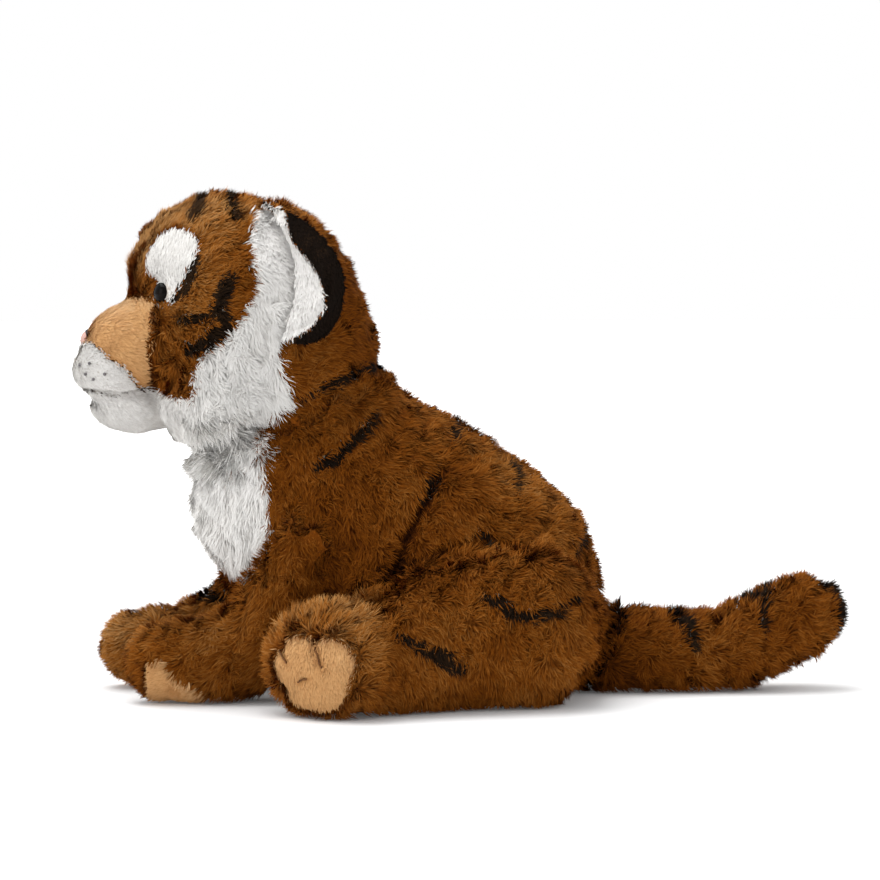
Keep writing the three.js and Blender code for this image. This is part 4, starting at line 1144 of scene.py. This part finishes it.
def make_toe_stitches(skins, material):
    """Sewn lines that draw the toes into each sole."""
    surface = {side: surface_of(skins[f"hind_leg_{side}"].data) for side in SIDES}
    for side, mirror in SIDES.items():
        lines = [thread_line(surface, stitch, mirror, THREAD_LIFT) for stitch in TOE_STITCHES]
        stitches = tube(f"toe_stitches_{side}", lines, THREAD_RADIUS)
        finish_piece(stitches, f"hind_leg_{side}", material)


KNOT_RADIUS = 0.75 * MM
KNOT_LIFT = 0.9


def make_whisker_knots(face, material):
    """Five knots of grey thread on each side of the upper lip."""
    shape = bmesh.new()
    for pixel in WHISKERS:
        place = seen_at(face, pixel)[0]
        for mirror in SIDES.values():
            centre, normal = face.find_nearest(Vector((place.x, place.y * mirror, place.z)))[:2]
            centre += normal * KNOT_LIFT * MM
            made = bmesh.ops.create_icosphere(shape, subdivisions=2, radius=KNOT_RADIUS)
            bmesh.ops.translate(shape, verts=made["verts"], vec=centre)
    knots = linked("whisker_knots", mesh_from(shape, "whisker_knots"))
    finish_piece(knots, "head", material)


NOSE_EDGE_REACH = 8.5
NOSE_EDGE_RADIUS = 1.3 * MM
NOSE_EDGE_RISE = 2.6 * MM
NOSE_EDGE_ARCH = 60 * MM


def make_nose_edge(face, material):
    """A black satin-stitched edge along the top of the nose."""
    line = []
    for y in np.linspace(-NOSE_EDGE_REACH, NOSE_EDGE_REACH, 25) * MM:
        height = NOSE_TIP[2] + NOSE_EDGE_RISE - y**2 / NOSE_EDGE_ARCH
        line.append((muzzle_front(face, y, height) - 0.2 * MM, y, height))
    finish_piece(tube("nose_edge", [line], NOSE_EDGE_RADIUS), "head", material)


NECK_STITCHES = 60
NECK_STITCH_REACH = 1.6 * MM
NECK_STITCH_DEPTH = 6 * MM


def make_neck_seam(material):
    """Ladder stitches round the neck, down in the pile, which close the seam between head and body."""
    low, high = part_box("neck_seam_cord")
    radius = (high[1] - low[1]) / 2 - NECK_STITCH_DEPTH
    across = np.array((0, 1, 0))
    forth = np.cross(NECK_AXIS, across)
    line = []
    for k in range(2 * NECK_STITCHES + 1):
        turn = math.pi * k / NECK_STITCHES
        place = NECK_CENTRE + radius * (math.cos(turn) * across + math.sin(turn) * forth)
        line.append(tuple(place + NECK_AXIS * NECK_STITCH_REACH * (1 if k % 2 else -1)))
    finish_piece(tube("neck_ladder_stitches", [line], THREAD_RADIUS), "neck", material,
                 ["neck_seam_cord"])


FLOOR_REACH = 6.0
FLOOR_GLOW = (0.05, 1.0)
GLOW_START = 0.3
GLOW_END = 1.2
SOFTBOXES = [("softbox_above", (-0.4, 0.15, 1.6), 1.4, 26), ("softbox_front", (-1.6, -1.0, 0.8), 1.2, 8)]
LAMP_TARGET = (0, 0, 0.1)
SKY_LIGHT = 0.85


def shown_itself(tree):
    """1 for rays that show the floor or the sky itself, 0 for those that only carry its light."""
    path = add(tree, "ShaderNodeLightPath").outputs
    shown = add(tree, "ShaderNodeMath", {0: path["Is Camera Ray"], 1: path["Is Glossy Ray"]},
                operation="MAXIMUM")
    return add(tree, "ShaderNodeMath", {0: shown, 1: path["Is Transmission Ray"]}, operation="MAXIMUM")


def make_stage():
    # Painted board, sprayed matt white: it glows to the camera as lit paper does, and keeps the toy's
    # shadow.
    material, tree, shader = new_material("matt_white_board", 0.9)
    shader.inputs["Base Color"].default_value = linear("#f2f2f2")
    place = add(tree, "ShaderNodeTexCoord")
    away = add(tree, "ShaderNodeVectorMath", {0: place.outputs["Object"]}, operation="LENGTH")
    glow = add(tree, "ShaderNodeMapRange", {0: away.outputs["Value"], 1: GLOW_START, 2: GLOW_END,
                                            3: FLOOR_GLOW[0], 4: FLOOR_GLOW[1]})
    strength = add(tree, "ShaderNodeMath", {0: shown_itself(tree), 1: glow}, operation="MULTIPLY")
    glow = add(tree, "ShaderNodeEmission", {0: (1, 1, 1, 1), 1: strength})
    both = add(tree, "ShaderNodeAddShader", {0: shader, 1: glow})
    tree.links.new(both.outputs[0], tree.nodes["Material Output"].inputs[0])
    mesh = bpy.data.meshes.new("floor")
    half = FLOOR_REACH
    corners = [(-half, -half, 0), (half, -half, 0), (half, half, 0), (-half, half, 0)]
    mesh.from_pydata(corners, [], [(0, 1, 2, 3)])
    mesh.materials.append(material)
    linked("floor", mesh)

    world = bpy.data.worlds.new("studio")
    world.use_nodes = True
    scene.world = world
    tree = world.node_tree
    strength = add(tree, "ShaderNodeMapRange", {0: shown_itself(tree), 3: SKY_LIGHT, 4: 1.0})
    tree.links.new(strength.outputs[0], tree.nodes["Background"].inputs["Strength"])
    tree.nodes["Background"].inputs["Color"].default_value = (1, 1, 1, 1)
    for name, place, size, power in SOFTBOXES:
        lamp = bpy.data.lights.new(name, "AREA")
        lamp.size = size
        lamp.energy = power
        obj = linked(name, lamp)
        obj.location = place
        obj.rotation_euler = (Vector(LAMP_TARGET) - Vector(place)).to_track_quat("-Z", "Y").to_euler()


make_camera()
make_stage()
backing = make_backing_cloth()
strand = make_strand()
pile_tree = make_pile_tree()
pile_settings = {"Strand": strand, "Dye": make_pile_dye(), "Thickness": 0.6 * MM, "Straying": 0.25,
                 "Fraying": 0.8}

skins, surfaces = {}, {}
for body, how in bodies.items():
    skins[body] = body_skin(body, how)
    surfaces[body] = surface_of(skins[body].data)
for body, how in bodies.items():
    skin = skins[body]
    others = [surfaces[other] for other in how["joined"]]
    swell(skin, nearness(corners_of(skin.data), others, HELD_CLOSE, HELD_FAR))
    skin.modifiers.new("subdivide", "SUBSURF").levels = 1
    surfaces[body] = surface_of(plain_mesh(skin).data)
swollen = []
for skin in skins.values():
    copy = skin.data.copy()
    set_corners(copy, corners_of(copy) + GROOVE * normals_of(copy))
    swollen.append(copy)
over_all = wrapped("over_all", swollen, UNION_VOXEL, UNION_ROUNDS)
set_corners(over_all.data, corners_of(over_all.data) - GROOVE * normals_of(over_all.data))
whole = surface_of(over_all.data)
bpy.data.objects.remove(over_all)
for first_seed, group in ((0, bodies), (900, ears)):
    for number, (body, how) in enumerate(group.items()):
        skin = skins[body] if body in skins else body_skin(body, how)
        creased, hidden = shape_skin(body, how, skin, surfaces, whole)
        dress(body, how, skin, creased, hidden, first_seed + 100 * number)
bpy.data.objects.remove(strand)

face = surface_of(skins["head"].data)
black_thread = make_thread("black_embroidery_thread", "#0c0a0a", "#1f1a18")
brown_thread = make_thread("brown_sewing_thread", "#5c3818", "#85582e")
# Cast acrylic safety eye: black and glassy, with a hint of brown
make_eyes(face, patterned("glossy_black_acrylic", "ShaderNodeTexNoise", {"Scale": 300.0},
                          [(0.35, "#040404"), (0.75, "#120a06")], 0.1, 0.06))
make_nose(face, make_thread("pink_satin_stitch", "#b98d82", "#d3aea3", 420.0))
make_nose_edge(face, black_thread)
make_whisker_knots(face, make_thread("grey_embroidery_thread", "#5d5a5b", "#8a8687"))
make_toe_stitches(skins, brown_thread)
make_neck_seam(brown_thread)
# Milky moulded polyethylene of the washer that locks an eye from inside, with faint mould marks
washer = patterned("milky_polyethylene", "ShaderNodeTexNoise", {"Scale": 500.0},
                   [(0.3, "#d2d0ca"), (0.7, "#e4e2dd")], 0.45)
for side in SIDES:
    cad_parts[f"eye_washer_{side}"].material_slots[0].material = washer

scene.view_settings.view_transform = "Standard"
